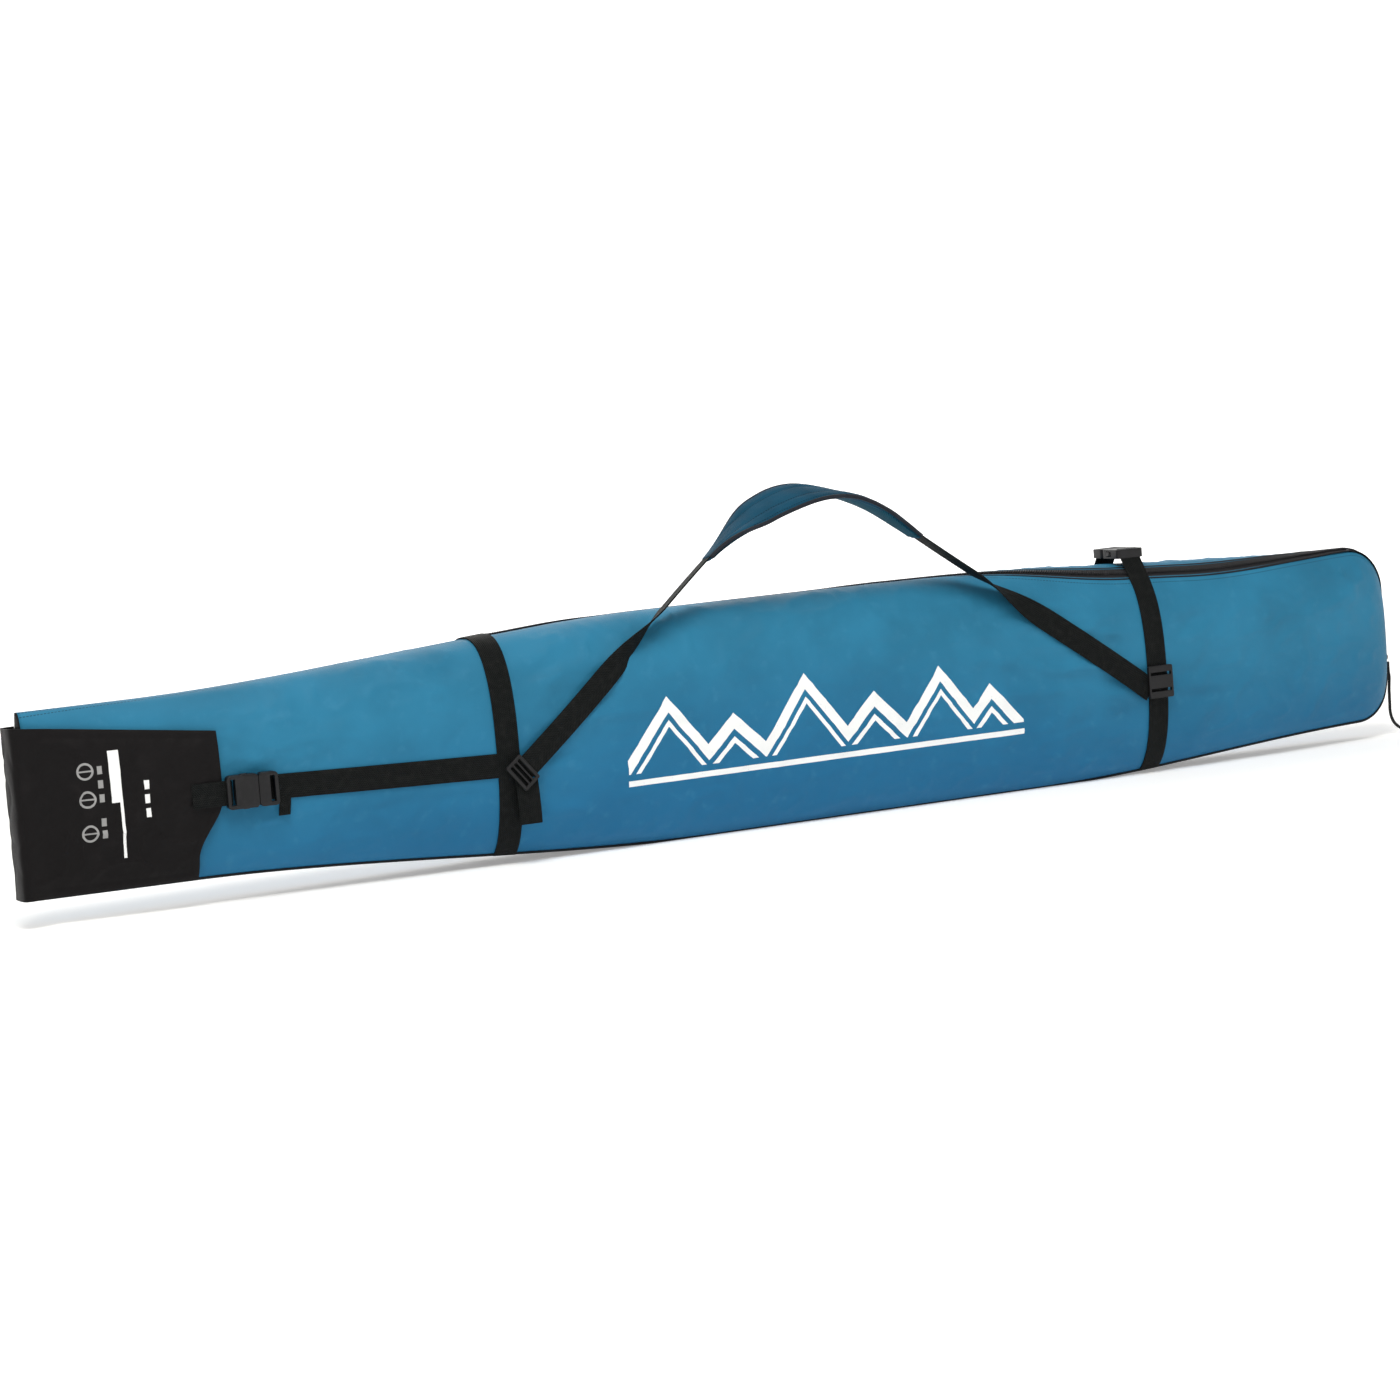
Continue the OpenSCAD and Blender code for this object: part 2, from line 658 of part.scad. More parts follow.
// The pad stands this far behind the widest part of the front face
pad_set_back = 16;
strap_y_high = -half_thick + pad_set_back;
leg_start = 22;
leg_steps = 12;
turn_from = 215;
turn_length = 60;
function leg_y(z) = mix(strap_y_low, strap_y_high, ease((z - anchor_z - 30) / (pad_end_z - anchor_z - 30)));
function leg_rows(anchor_x, d, end_x, side) = let (
        start = [anchor_x, 0, anchor_z] + leg_start * d,
        end = [end_x, 0, pad_end_z]
    )
    [for (i = [0:leg_steps]) let (
            p = mix(start, end, i / leg_steps),
            turn = 90 * ease((p[2] - turn_from) / turn_length),
            flat = [-d[2], 0, d[0]] * side,
            w = cos(turn) * flat + [0, sin(turn), 0],
            nrm = cross(d * side, w)
        )
        [[p[0], leg_y(p[2]), p[2]], w, nrm]
    ];
module leg(rows) {
    sheet(
        [for (r = rows) [for (s = [-0.5, 0.5]) r[0] + s * webbing_width * r[1] + webbing_thickness / 2 * r[2]]],
        [for (r = rows) [for (s = [-0.5, 0.5]) r[0] + s * webbing_width * r[1] - webbing_thickness / 2 * r[2]]]
    );
}
module left_shoulder_webbing() {
    color("darkslategray") leg(leg_rows(left_anchor_x, left_leg, pad_left_x, 1));
}
module right_shoulder_webbing() {
    color("darkslategray") leg(reversed(leg_rows(right_anchor_x, right_leg, pad_right_x, -1)));
}

// Pad: layers bent over an arch, with a binding along each long edge
pad_steps = 16;
pad_mid_x = (pad_left_x + pad_right_x) / 2;
pad_half = (pad_right_x - pad_left_x) / 2;
pad_rise = pad_top_z - pad_end_z;
arch_power = 1.9;
function pad_mid(s) = [pad_mid_x + pad_half * s, pad_end_z + pad_rise * (1 - pow(abs(s), arch_power))];
function pad_point(s, o) = let (d = unit(pad_mid(min(1, s + 0.02)) - pad_mid(max(-1, s - 0.02))))
    pad_mid(s) + o * [-d[1], d[0]];
function pad_side(o, shrink) = [for (i = [0:pad_steps]) pad_point((2 * i / pad_steps - 1) * shrink, o)];
pad_bottom = webbing_thickness / 2 - foam_thickness / 2 - cover_thickness;
binding_width = 3;
module pad_layer(o_from, o_to, y_from, y_to, shrink) {
    across(strap_y_high + y_from, strap_y_high + y_to)
        polygon(concat(pad_side(o_to, shrink), reversed(pad_side(o_from, shrink))));
}
pad_inner = pad_width / 2 - binding_width;
// The pad's ends stop short of the legs, which are sewn to them edge to edge
pad_short = 0.985;
module pad_lining() {
    color("dimgray") pad_layer(pad_bottom, pad_bottom + cover_thickness, -pad_inner, pad_inner, pad_short);
}
module pad_foam() {
    color("lightgray") pad_layer(
        pad_bottom + cover_thickness, pad_bottom + cover_thickness + foam_thickness,
        -pad_inner, pad_inner, pad_short
    );
}
module pad_cover() {
    o = pad_bottom + cover_thickness + foam_thickness;
    color("steelblue") pad_layer(o, o + cover_thickness, -pad_inner, pad_inner, pad_short);
}
module pad_binding(side) {
    o = pad_bottom + 2 * cover_thickness + foam_thickness;
    y = side * (pad_inner + binding_width / 2);
    color("midnightblue") pad_layer(pad_bottom, o, y - binding_width / 2, y + binding_width / 2, pad_short);
}
module pad_binding_front() {
    pad_binding(-1);
}
module pad_binding_back() {
    pad_binding(1);
}

front_panel();
base_panel();
back_tail_panel();
tail_top_panel();
tail_end_panel();
front_zip_tape();
front_zip_teeth();
zip_start_stop();
zip_end_stop();
left_ring_strap();
right_ring_strap_front();
top_buckle_socket();
left_anchor_tab();
left_ladder_lock();
left_strap_tail();
right_anchor_tab();
right_tri_glide();
tail_strap();
tail_strap_end();
back_panel();
back_zip_tape();
back_zip_teeth();
right_ring_strap_back();
top_buckle_plug();
top_buckle_prongs();
tail_flap();
tail_fold_roll();
tail_flap_tab();
tail_buckle_socket();
tail_buckle_plug();
tail_buckle_prongs();
zip_slider();
pull_cord();
pull_cord_end();
left_shoulder_webbing();
right_shoulder_webbing();
pad_cover();
pad_foam();
pad_lining();
pad_binding_front();
pad_binding_back();
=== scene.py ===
from math import acos, copysign, cos, pi, radians, sin

import bmesh
import bpy
import numpy as np
from mathutils import Matrix, Vector, noise


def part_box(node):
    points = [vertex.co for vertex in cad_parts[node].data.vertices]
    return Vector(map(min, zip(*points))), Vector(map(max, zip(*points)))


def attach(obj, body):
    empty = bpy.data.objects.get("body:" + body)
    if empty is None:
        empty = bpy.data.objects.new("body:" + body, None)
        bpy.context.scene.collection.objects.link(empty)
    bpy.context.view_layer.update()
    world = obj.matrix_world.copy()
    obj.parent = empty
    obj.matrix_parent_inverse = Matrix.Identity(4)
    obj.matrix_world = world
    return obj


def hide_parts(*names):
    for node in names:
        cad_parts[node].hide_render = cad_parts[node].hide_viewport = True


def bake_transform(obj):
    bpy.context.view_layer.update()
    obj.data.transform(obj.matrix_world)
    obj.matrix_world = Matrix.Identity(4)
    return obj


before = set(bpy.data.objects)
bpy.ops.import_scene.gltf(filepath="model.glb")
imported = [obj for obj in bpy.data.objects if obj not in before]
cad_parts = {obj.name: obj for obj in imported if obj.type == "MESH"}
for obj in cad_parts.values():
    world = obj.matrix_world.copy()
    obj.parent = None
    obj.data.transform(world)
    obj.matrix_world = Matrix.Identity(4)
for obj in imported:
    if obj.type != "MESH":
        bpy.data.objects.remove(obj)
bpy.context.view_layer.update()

# Camera: a long lens a little over floor height, in front of the bag and round towards its folded tail.
# It is rolled, so that the bag climbs towards its tip.
view_turn, view_lift, view_roll = radians(27), radians(5.65), radians(4.573)
view_distance = 4.5
view_target = Vector((-0.0574, 0, 0.1408))
back_along = Vector((-sin(view_turn) * cos(view_lift), -cos(view_turn) * cos(view_lift), sin(view_lift)))
camera_place = Vector((0, 0, 0.12)) + view_distance * back_along
camera_data = bpy.data.cameras.new("camera")
camera_data.lens = 107.98
camera_data.sensor_width = 36
camera_data.clip_end = 60
camera = bpy.data.objects.new("camera", camera_data)
bpy.context.scene.collection.objects.link(camera)
aim = (view_target - camera_place).to_track_quat("-Z", "Y").to_matrix().to_4x4()
camera.matrix_world = Matrix.Translation(camera_place) @ aim @ Matrix.Rotation(-view_roll, 4, "Z")
bpy.context.scene.camera = camera


# Pull cord: a short braided cord knotted through the bridge of the zip's slider.
# It hangs past the lower corner of the tip and its moulded end lies on the floor.
class Socket:
    """A shader value that takes part in sums."""

    def __init__(self, finish, socket):
        self.finish, self.socket = finish, socket

    def maths(self, operation, *values):
        return self.finish.node("ShaderNodeMath", {"operation": operation}, values)

    def __add__(self, other):
        return self.maths("ADD", self, other)

    __radd__ = __add__

    def __sub__(self, other):
        return self.maths("SUBTRACT", self, other)

    def __rsub__(self, other):
        return self.maths("SUBTRACT", other, self)

    def __mul__(self, other):
        return self.maths("MULTIPLY", self, other)

    __rmul__ = __mul__

    def __abs__(self):
        return self.maths("ABSOLUTE", self)

    def __gt__(self, other):
        return self.maths("GREATER_THAN", self, other)

    def __lt__(self, other):
        return self.maths("LESS_THAN", self, other)

    def __or__(self, other):
        return self.maths("MAXIMUM", self, other)

    def sine(self):
        return self.maths("SINE", self)

    def root(self):
        return self.maths("SQRT", self)

    def eased(self, low, high):
        return self.finish.node(
            "ShaderNodeMapRange", {"interpolation_type": "SMOOTHSTEP"},
            {"Value": self, "From Min": low, "From Max": high})


class Finish:
    """A material: its Principled shader and the nodes that vary it."""

    def __init__(self, name, color, roughness, **constants):
        self.material = bpy.data.materials.new(name)
        self.material.use_nodes = True
        self.tree = self.material.node_tree
        self.shader = self.tree.nodes["Principled BSDF"]
        self.shader.inputs["Base Color"].default_value = (*color, 1)
        self.shader.inputs["Roughness"].default_value = roughness
        for key, value in constants.items():
            self.shader.inputs[key.replace("_", " ")].default_value = value

    def node(self, kind, settings=None, sockets=(), output=0):
        made = self.tree.nodes.new(kind)
        for key, value in (settings or {}).items():
            setattr(made, key, value)
        for key, value in (sockets.items() if isinstance(sockets, dict) else enumerate(sockets)):
            if isinstance(value, Socket):
                self.tree.links.new(value.socket, made.inputs[key])
            else:
                made.inputs[key].default_value = value
        return Socket(self, made.outputs[output])

    def feed(self, name, value):
        self.tree.links.new(value.socket, self.shader.inputs[name])

    def place(self, source="UV"):
        """The UV map, or the object's own space, and its X, Y and Z."""
        point = self.node("ShaderNodeTexCoord", output=source)
        return point, [self.node("ShaderNodeSeparateXYZ", None, [point], axis) for axis in range(3)]

    def blotches(self, point, scale, detail=2.0):
        return self.node("ShaderNodeTexNoise", None, {"Vector": point, "Scale": scale, "Detail": detail})

    def mix(self, factor, first, second):
        colors = [c if isinstance(c, Socket) else (*c, 1) for c in (first, second)]
        return self.node(
            "ShaderNodeMix", {"data_type": "RGBA"}, {0: factor, 6: colors[0], 7: colors[1]}, 2)

    def relief(self, height, strength, distance):
        self.feed("Normal", self.node(
            "ShaderNodeBump", None, {"Height": height, "Strength": strength, "Distance": distance}))


def tint(color, share):
    return tuple(c * share for c in color)


def braid_finish():
    finish = Finish("braided_cord", (0.012, 0.012, 0.014), 0.8, Specular_IOR_Level=0.2)
    _, (along, around, _) = finish.place()
    strands = (along * 2400 + around * 600).sine() * (along * 2400 - around * 600).sine()
    light = strands.eased(-0.6, 0.9)
    finish.feed("Base Color", finish.mix(light, (0.006, 0.006, 0.007), (0.032, 0.032, 0.036)))
    finish.relief(light, 0.6, 0.0005)
    return finish.material


def new_piece(name, bm, material):
    """An object at the origin from a finished bmesh."""
    mesh = bpy.data.meshes.new(name)
    bm.to_mesh(mesh)
    bm.free()
    mesh.shade_smooth()
    piece = bpy.data.objects.new(name, mesh)
    bpy.context.scene.collection.objects.link(piece)
    mesh.materials.append(material)
    return piece


def grid_piece(name, along, across, place, material, closed=False):
    """A grid of squares. place gives a point, and its spot on the flat cloth, for u and v from 0 to 1."""
    bm = bmesh.new()
    bmesh.ops.create_grid(bm, x_segments=along, y_segments=across, size=0.5)
    flat = {}
    for vert in bm.verts:
        vert.co, flat[vert] = place(vert.co.x + 0.5, vert.co.y + 0.5)
    layer = bm.loops.layers.uv.new("UVMap")
    for face in bm.faces:
        for loop in face.loops:
            loop[layer].uv = flat[loop.vert]
    if closed:
        bmesh.ops.remove_doubles(bm, verts=bm.verts, dist=1e-6)
    return new_piece(name, bm, material)


def smooth_line(points, steps):
    """A smooth line of steps + 1 points through a few points, a share of its length apart."""
    dense = []
    ends = [2 * points[0] - points[1], *points, 2 * points[-1] - points[-2]]
    for before, a, b, after in zip(ends, ends[1:], ends[2:], ends[3:]):
        for t in (i / 12 for i in range(12)):
            dense.append(0.5 * (
                2 * a + t * (b - before) + t * t * (2 * before - 5 * a + 4 * b - after)
                + t * t * t * (3 * a - before - 3 * b + after)))
    dense.append(points[-1])
    runs = np.concatenate(([0], np.cumsum([(q - p).length for p, q in zip(dense, dense[1:])])))
    spots = np.linspace(0, runs[-1], steps + 1)
    return [Vector([np.interp(s, runs, [p[i] for p in dense]) for i in range(3)]) for s in spots]


def closed_up(piece):
    """Fills a tube's open ends and turns its faces outwards."""
    bm = bmesh.new()
    bm.from_mesh(piece.data)
    bmesh.ops.holes_fill(bm, edges=bm.edges)
    bmesh.ops.recalc_face_normals(bm, faces=bm.faces)
    bm.to_mesh(piece.data)
    bm.free()
    return piece


def tube_piece(name, line, radius, material, sides=12):
    """A round cord or piping along a line of points, closed at both ends."""
    last = len(line) - 1
    run = sum((q - p).length for p, q in zip(line, line[1:]))

    def ring(u, v):
        i = min(last, round(u * last))
        ahead = (line[min(i + 1, last)] - line[max(i - 1, 0)]).normalized()
        level = ahead.cross(Vector((0, 1, 0)) if abs(ahead.y) < 0.9 else Vector((1, 0, 0))).normalized()
        turn = 2 * pi * v
        spoke = cos(turn) * level + sin(turn) * ahead.cross(level)
        return line[i] + radius * spoke, (u * run, v * 2 * pi * radius)

    return closed_up(grid_piece(name, last, sides, ring, material, closed=True))


def finished(piece, body, slot, *nodes):
    """Rides on its body and stands for its nodes. Its slot is not used."""
    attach(piece, body)
    if nodes:
        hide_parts(*nodes)
    return piece


cord_radius = 0.00175
cord_route = [Vector(p) / 1000 for p in (
    (834, 0, 84), (834, 0, 79), (834, 0, 73), (834, -1, 66), (833, -1.5, 59), (832, -2, 52),
    (831.5, -2.5, 46), (831, -3, 40), (830.5, -3.5, 34), (830, -4, 28.5), (830, -5, 23), (831, -5.5, 18.5),
    (833, -6, 14), (836, -7, 10), (840, -7.5, 7), (845, -8, 5), (852, -8, 4.3))]
cord_line = smooth_line(cord_route, 80)
cord_piece = tube_piece("cord_braid", cord_line, cord_radius, braid_finish())
finished(cord_piece, "slider", "cord", "pull_cord")


def moulded_finish(name, color, roughness):
    """Moulded plastic with a faint mould texture and rubbed patches."""
    finish = Finish(name, color, roughness, Specular_IOR_Level=0.25)
    point, _ = finish.place("Object")
    rubbed = finish.blotches(point, 90).eased(0.45, 0.75)
    finish.feed("Base Color", finish.mix(rubbed, color, tint(color, 1.6)))
    finish.feed("Roughness", roughness + 0.16 * rubbed)
    finish.relief(finish.blotches(point, 2600, 1.0), 0.12, 0.0003)
    return finish.material


end_radius, end_length = 0.004, 0.022
bm = bmesh.new()
end_middle = cord_route[-1] + Vector((end_length / 2, 0, 0))
end_place = Matrix.Translation(end_middle) @ Matrix.Rotation(pi / 2, 4, "Y")
bmesh.ops.create_cone(
    bm, cap_ends=True, segments=20, radius1=end_radius * 0.72, radius2=end_radius,
    depth=end_length, matrix=end_place)
bmesh.ops.bevel(
    bm, geom=[e for e in bm.edges if e.calc_face_angle(0) > 1], offset=0.0012, segments=3,
    profile=0.5, material=-1, affect="EDGES")
cord_end = new_piece("cord_end", bm, moulded_finish("cord_end_plastic", (0.016, 0.016, 0.018), 0.42))
finished(cord_end, "slider", "cord_end", "pull_cord_end")

# Front panel: blue coated polyester lined with grey nylon, cut in one piece from tail to tip.
# It is sewn to the base below and to the zip above, is pulled in by the two ring straps, and carries a print.
panel_low, panel_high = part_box("front_panel")
tail_x, tip_x = panel_low.x, panel_high.x
bag_height, half_thick = panel_high.z, -panel_low.y
half_gap = -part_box("front_zip_tape")[0].y
half_base = -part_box("base_panel")[0].y
zip_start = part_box("front_zip_tape")[0].x
corner_r = 0.050
corner_x = tip_x - corner_r
corner_end = corner_x + corner_r * pi / 2
tail_drop, tip_drop, tail_rise, tip_rise = 0.029, 0.022, 0.028, 0.022
tail_half = 0.014
tail_strap_z = 0.110
section_power = 2.5
base_angle = -acos((half_base / half_thick) ** (section_power / 2))
zip_angle = acos((half_gap / half_thick) ** (section_power / 2))
left_ring, right_ring = (sum(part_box(n)[i].x for i in (0, 1)) / 2 for n in (
    "left_ring_strap", "right_ring_strap_front"))
cloth_thick = 0.0012
# The second blue is painted shade, laid on the lower part of both panels.
blue, painted_shade_blue = (0.019, 0.160, 0.276), (0.006, 0.108, 0.255)
white_ink = (0.86, 0.87, 0.87)
print_left, print_right, ridge_foot = -0.178, 0.302, 0.079
line_low, line_high = 0.066, 0.072


def ramp(x, start, end):
    t = min(1.0, max(0.0, (x - start) / (end - start)))
    return t * t * (3 - 2 * t)


def top_line(x):
    return (bag_height - tail_drop * (1 - ramp(x, tail_x + 0.110, tail_x + 0.690))
            - tip_drop * ramp(x, tip_x - 0.605, tip_x - 0.025))


def bottom_line(x):
    return (tail_rise * (1 - ramp(x, tail_x + 0.160, tail_x + 0.750))
            + tip_rise * ramp(x, tip_x - 0.495, tip_x - 0.035))


def half_at(x):
    tail = min(1.0, max(0.0, (tail_x + 0.610 - x) / 0.610)) ** 1.8
    tip = min(1.0, max(0.0, (x - tip_x + 0.425) / 0.425))
    return (half_thick - (half_thick - tail_half) * tail
            - (half_thick - half_gap) * (1 - (1 - tip ** 2.2) ** (1 / 2.2)))


sections = {}


def section(s):
    """X, then distance round from the ridge, Y and Z, at a length s that turns down at the tip's corner."""
    if s not in sections:
        turn = max(0.0, s - corner_x) / corner_r
        x = corner_x + corner_r * sin(turn) if turn else s
        drop = corner_r * (1 - cos(turn))
        top, bottom = top_line(min(s, corner_x)) - drop, bottom_line(min(s, corner_x)) + drop
        gap = half_gap * ramp(s, zip_start - 0.05, zip_start)
        ends = base_angle, pi / 2 + (zip_angle - pi / 2) * gap / half_gap
        power = 2 / section_power
        k_base, k_top = (abs(sin(a)) ** power for a in ends)
        height = (top - bottom) / (k_base + k_top)
        angle = np.linspace(*ends, 160)
        y = np.maximum(gap, half_at(x) * np.clip(np.cos(angle), 0, 1) ** power)
        z = bottom + height * (k_base + np.sign(angle) * np.abs(np.sin(angle)) ** power)
        ys, zs = np.concatenate((-y, y[::-1])), np.concatenate((z, z[::-1]))
        run = np.concatenate(([0], np.cumsum(np.hypot(np.diff(ys), np.diff(zs)))))
        sections[s] = x, run - run[-1] / 2, ys, zs
    return sections[s]


def on_bag(s, w, out=0.0):
    """The point at a length s and a distance w round the bag from its ridge, with the front below 0."""
    x, run, ys, zs = section(s)
    step = 0.003
    spots = np.clip((w - step, w, w + step), run[0], run[-1])
    y, z = np.interp(spots, run, ys), np.interp(spots, run, zs)
    across = Vector((0, y[2] - y[0], z[2] - z[0])).normalized()
    return Vector((x, y[1], z[1])) + Vector((0, -across.z, across.y)) * out


def seam_at(s):
    """The zip's middle: it lies a little to the back, and is pulled over to the front before the tip."""
    over_back = 0.022 * ramp(s, zip_start + 0.004, zip_start + 0.16) * (1 - ramp(s, 0.06, 0.24))
    return over_back - 0.034 * ramp(s, 0.20, 0.46) * (1 - ramp(s, 0.54, 0.85))


def crease(x, y, z, sharpness):
    return (1 - min(1.0, abs(noise.noise((x, y, z))) * 2.2)) ** sharpness


def stands_out(s, w, z, from_zip, side):
    """How far the filled cloth stands out from its plain shape, in metres."""
    from_ring = min(abs(s - left_ring), abs(s - right_ring))
    from_base = section(s)[1][-1] - abs(w)
    held = ramp(from_ring, 0.014, 0.060) * ramp(from_zip, 0.003, 0.045) * ramp(from_base, 0.001, 0.030)
    held *= ramp(s, tail_x, tail_x + 0.04) * (1 - ramp(s, corner_x, corner_end - 0.02))
    if side < 0:
        on_strap = ramp(s, -0.64, -0.60) * (1 - ramp(s, -0.34, -0.31))
        held *= 1 - on_strap * (1 - ramp(abs(z - tail_strap_z), 0.014, 0.034))
        held *= ramp(s, -0.640, -0.590)
    seed = 11 * side
    bulge = 1.5 * noise.noise((s * 6, z * 11, seed)) + 0.5
    patches = 0.2 + noise.noise((s * 4, z * 8, seed + 5))
    folds = 7.5 * crease(s * 7 + z * 9, z * 17 - s * 3, seed + 3, 2) * patches
    ripples = 1.9 * crease(s * 24 - z * 14, z * 44 + s * 9, seed + 7, 3) - 0.5
    gather = 2.1 * sin(z * 150 + 4 * noise.noise((s * 12, z * 20, seed))) * (1 - ramp(from_ring, 0.03, 0.11))
    pucker = 0.7 * sin(s * 420 + 3 * noise.noise((s * 30, 0, seed))) * (1 - ramp(from_zip, 0.010, 0.045))
    return 0.001 * held * (bulge + folds + ripples + gather + pucker)


def weave(finish, along, across, pitch):
    """Threads of a plain weave, from 0 in the gaps to 1 on top."""
    turns = 2 * pi / pitch
    return ((along * turns).sine() * (across * turns).sine()).eased(-0.8, 0.8)


def stitches(along, across, at, pitch=0.0036):
    """A row of thread at a distance across the cloth."""
    return (abs(across - at) < 0.00045) * ((along * (2 * pi / pitch)).sine() > -0.45)


def shell_finish(name, printed):
    """Coated polyester: woven threads with a painted highlight on their tops, cloudy and worn patches, and
    painted shade, a deeper blue near the base.

    The front has the print: a plain mountain ridge over a line."""
    finish = Finish(name, blue, 0.46, Specular_IOR_Level=0.14, Sheen_Weight=0.02, Sheen_Roughness=0.45)
    flat, (along, down, _) = finish.place()
    threads = weave(finish, along, down, 0.0011)
    cloudy = finish.blotches(flat, 9, 4.0).eased(0.3, 0.7)
    worn = finish.blotches(flat, 60, 3.0).eased(0.55, 0.8)
    cloth = finish.mix(cloudy, tint(blue, 0.84), tint(blue, 1.15))
    # Painted shade: the cloth turns a deeper blue away from the zip, towards the base.
    cloth = finish.mix(0.8 * down.eased(0.07, 0.25), cloth, painted_shade_blue)
    # Painted highlight: the raised tops of the woven threads are painted a lighter blue.
    cloth = finish.mix(0.35 * threads, cloth, (0.032, 0.200, 0.360))
    cloth = finish.mix(0.22 * worn, cloth, (0.050, 0.235, 0.390))
    thread_rows = stitches(along, down, 0.0032) | stitches(along, down, 0.0085)
    cloth = finish.mix(thread_rows, cloth, (0.010, 0.060, 0.105))
    height = threads + 2.0 * cloudy + 2.5 * thread_rows
    if printed:
        _, (x, _, z) = finish.place("Object")
        ridge = None
        for peak_x, peak_z, slope in (
                (-0.128, 0.156, 1.25), (-0.052, 0.130, 0.95), (0.036, 0.162, 1.30),
                (0.118, 0.134, 1.00), (0.200, 0.152, 1.30), (0.262, 0.126, 1.10)):
            tent = peak_z - slope * abs(x - peak_x)
            ridge = tent if ridge is None else ridge | tent
        below = ridge - z
        bands = (below > 0) * (below < 0.017) | (below > 0.025) * (below < 0.032)
        ink = bands * (z > ridge_foot) * (x > print_left) * (x < print_right) | (
            (z > line_low) * (z < line_high) * (x > print_left) * (x < print_right))
        cracked = 1 - 0.3 * finish.blotches(flat, 420, 4.0).eased(0.62, 0.78)
        cloth = finish.mix(ink * cracked, cloth, white_ink)
        finish.feed("Roughness", 0.5 - 0.12 * ink)
    finish.feed("Base Color", cloth)
    finish.relief(height, 0.28, 0.00035)
    return finish.material


def lining_finish():
    """The bag's inside: smooth grey lining nylon with a fine square rip-stop grid."""
    finish = Finish("lining_nylon", (0.030, 0.034, 0.038), 0.6, Specular_IOR_Level=0.16)
    flat, (along, down, _) = finish.place()
    threads = weave(finish, along, down, 0.0009)
    grid = ((along * 1250).sine() > 0.94) | ((down * 1250).sine() > 0.94)
    soft = finish.blotches(flat, 12, 3.0).eased(0.3, 0.7)
    cloth = finish.mix(soft, (0.024, 0.027, 0.031), (0.037, 0.041, 0.046))
    finish.feed("Base Color", finish.mix(0.5 * grid, cloth, (0.055, 0.060, 0.066)))
    finish.relief(threads + grid, 0.25, 0.0003)
    return finish.material


lining_nylon = lining_finish()


def settle(piece, thick, offset=-1.0, rim=0.0, inside=None):
    """The cloth gets its thickness, its inside cloth and a rounded rim as part of its mesh."""
    solid = piece.modifiers.new("thickness", "SOLIDIFY")
    solid.thickness, solid.offset, solid.use_even_offset = thick, offset, True
    if inside:
        piece.data.materials.append(inside)
        solid.material_offset = 1
    if rim:
        edge = piece.modifiers.new("rim", "BEVEL")
        edge.width, edge.segments, edge.limit_method = rim, 2, "ANGLE"
    bpy.context.view_layer.update()
    graph = bpy.context.evaluated_depsgraph_get()
    mesh = bpy.data.meshes.new_from_object(piece.evaluated_get(graph))
    piece.modifiers.clear()
    piece.data = mesh
    return piece


def skin_piece(name, side, columns, rows, material):
    """One side of the bag from its zip or ridge to its base; side is -1 at the front."""
    def place(u, v):
        s = tail_x + (corner_end - tail_x) * u
        edge = seam_at(s) + side * half_gap * ramp(s, zip_start - 0.05, zip_start)
        share = v if side > 0 else 1 - v
        w = edge + (side * section(s)[1][-1] - edge) * share
        plain = on_bag(s, w)
        return on_bag(s, w, stands_out(s, w, plain.z, abs(w - edge), side)), (s, abs(w - edge))

    return settle(grid_piece(name, columns, rows, place, material), cloth_thick, inside=lining_nylon)


front_skin = skin_piece("front_cloth", -1, 380, 64, shell_finish("shell_cloth_printed", True))
finished(front_skin, "shell", "shell_fabric", "front_panel")

# Back panel: the same cloth in one piece with the back of the tail, sewn to the base and the zip.
plain_shell = shell_finish("shell_cloth", False)
back_skin = skin_piece("back_cloth", 1, 330, 64, plain_shell)
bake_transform(back_skin)
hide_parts("back_panel", "back_tail_panel", "tail_top_panel")

# Base and tail end: a hard-wearing black strip under the bag, turned up round the lower corner of the tip.
# It meets both panels in piped seams, and a panel of the same cloth closes the flattened tail.
base_columns = 300


def dark_cloth_finish(name, color, pitch=0.0014, marks=None, gloss=0.12):
    """Heavy black polyester with a coarse weave and scuffs."""
    finish = Finish(
        name, color, 0.62 - gloss, Specular_IOR_Level=gloss, Sheen_Weight=0.02, Sheen_Roughness=0.5)
    flat, (along, across, _) = finish.place()
    threads = weave(finish, along, across, pitch)
    scuffs = finish.blotches(flat, 34, 4.0).eased(0.5, 0.8)
    cloth = finish.mix(0.5 * threads, tint(color, 0.75), tint(color, 1.7))
    cloth = finish.mix(0.4 * scuffs, cloth, tint(color, 2.6))
    if marks:
        cloth = marks(finish, cloth)
    finish.feed("Base Color", cloth)
    finish.relief(threads + 1.5 * scuffs, 0.4, 0.0004)
    return finish.material


base_black = (0.0075, 0.0075, 0.008)
base_cloth = dark_cloth_finish("base_cloth", base_black)


def base_spot(u, v):
    s = tail_x + (corner_end - tail_x) * u
    front = on_bag(s, section(s)[1][0])
    rear = Vector((front.x, -front.y, front.z))
    return rear.lerp(front, v), (s, v * (rear - front).length)


base_strip = settle(grid_piece("base_strip", base_columns, 12, base_spot, base_cloth), cloth_thick)
finished(base_strip, "shell", "dark_fabric", "base_panel")


def tail_spot(u, v):
    run = section(tail_x)[1]
    front = on_bag(tail_x, run[0] * (1 - v))
    rear = Vector((front.x, -front.y, front.z))
    puff = 0.002 * (4 * u * (1 - u)) ** 0.7
    return rear.lerp(front, u) - Vector((puff, 0, 0)), (u * 0.03, v * run[-1])


tail_end = settle(grid_piece("tail_end_cloth", 10, 40, tail_spot, base_cloth), cloth_thick)
finished(tail_end, "shell", "dark_fabric", "tail_end_panel")

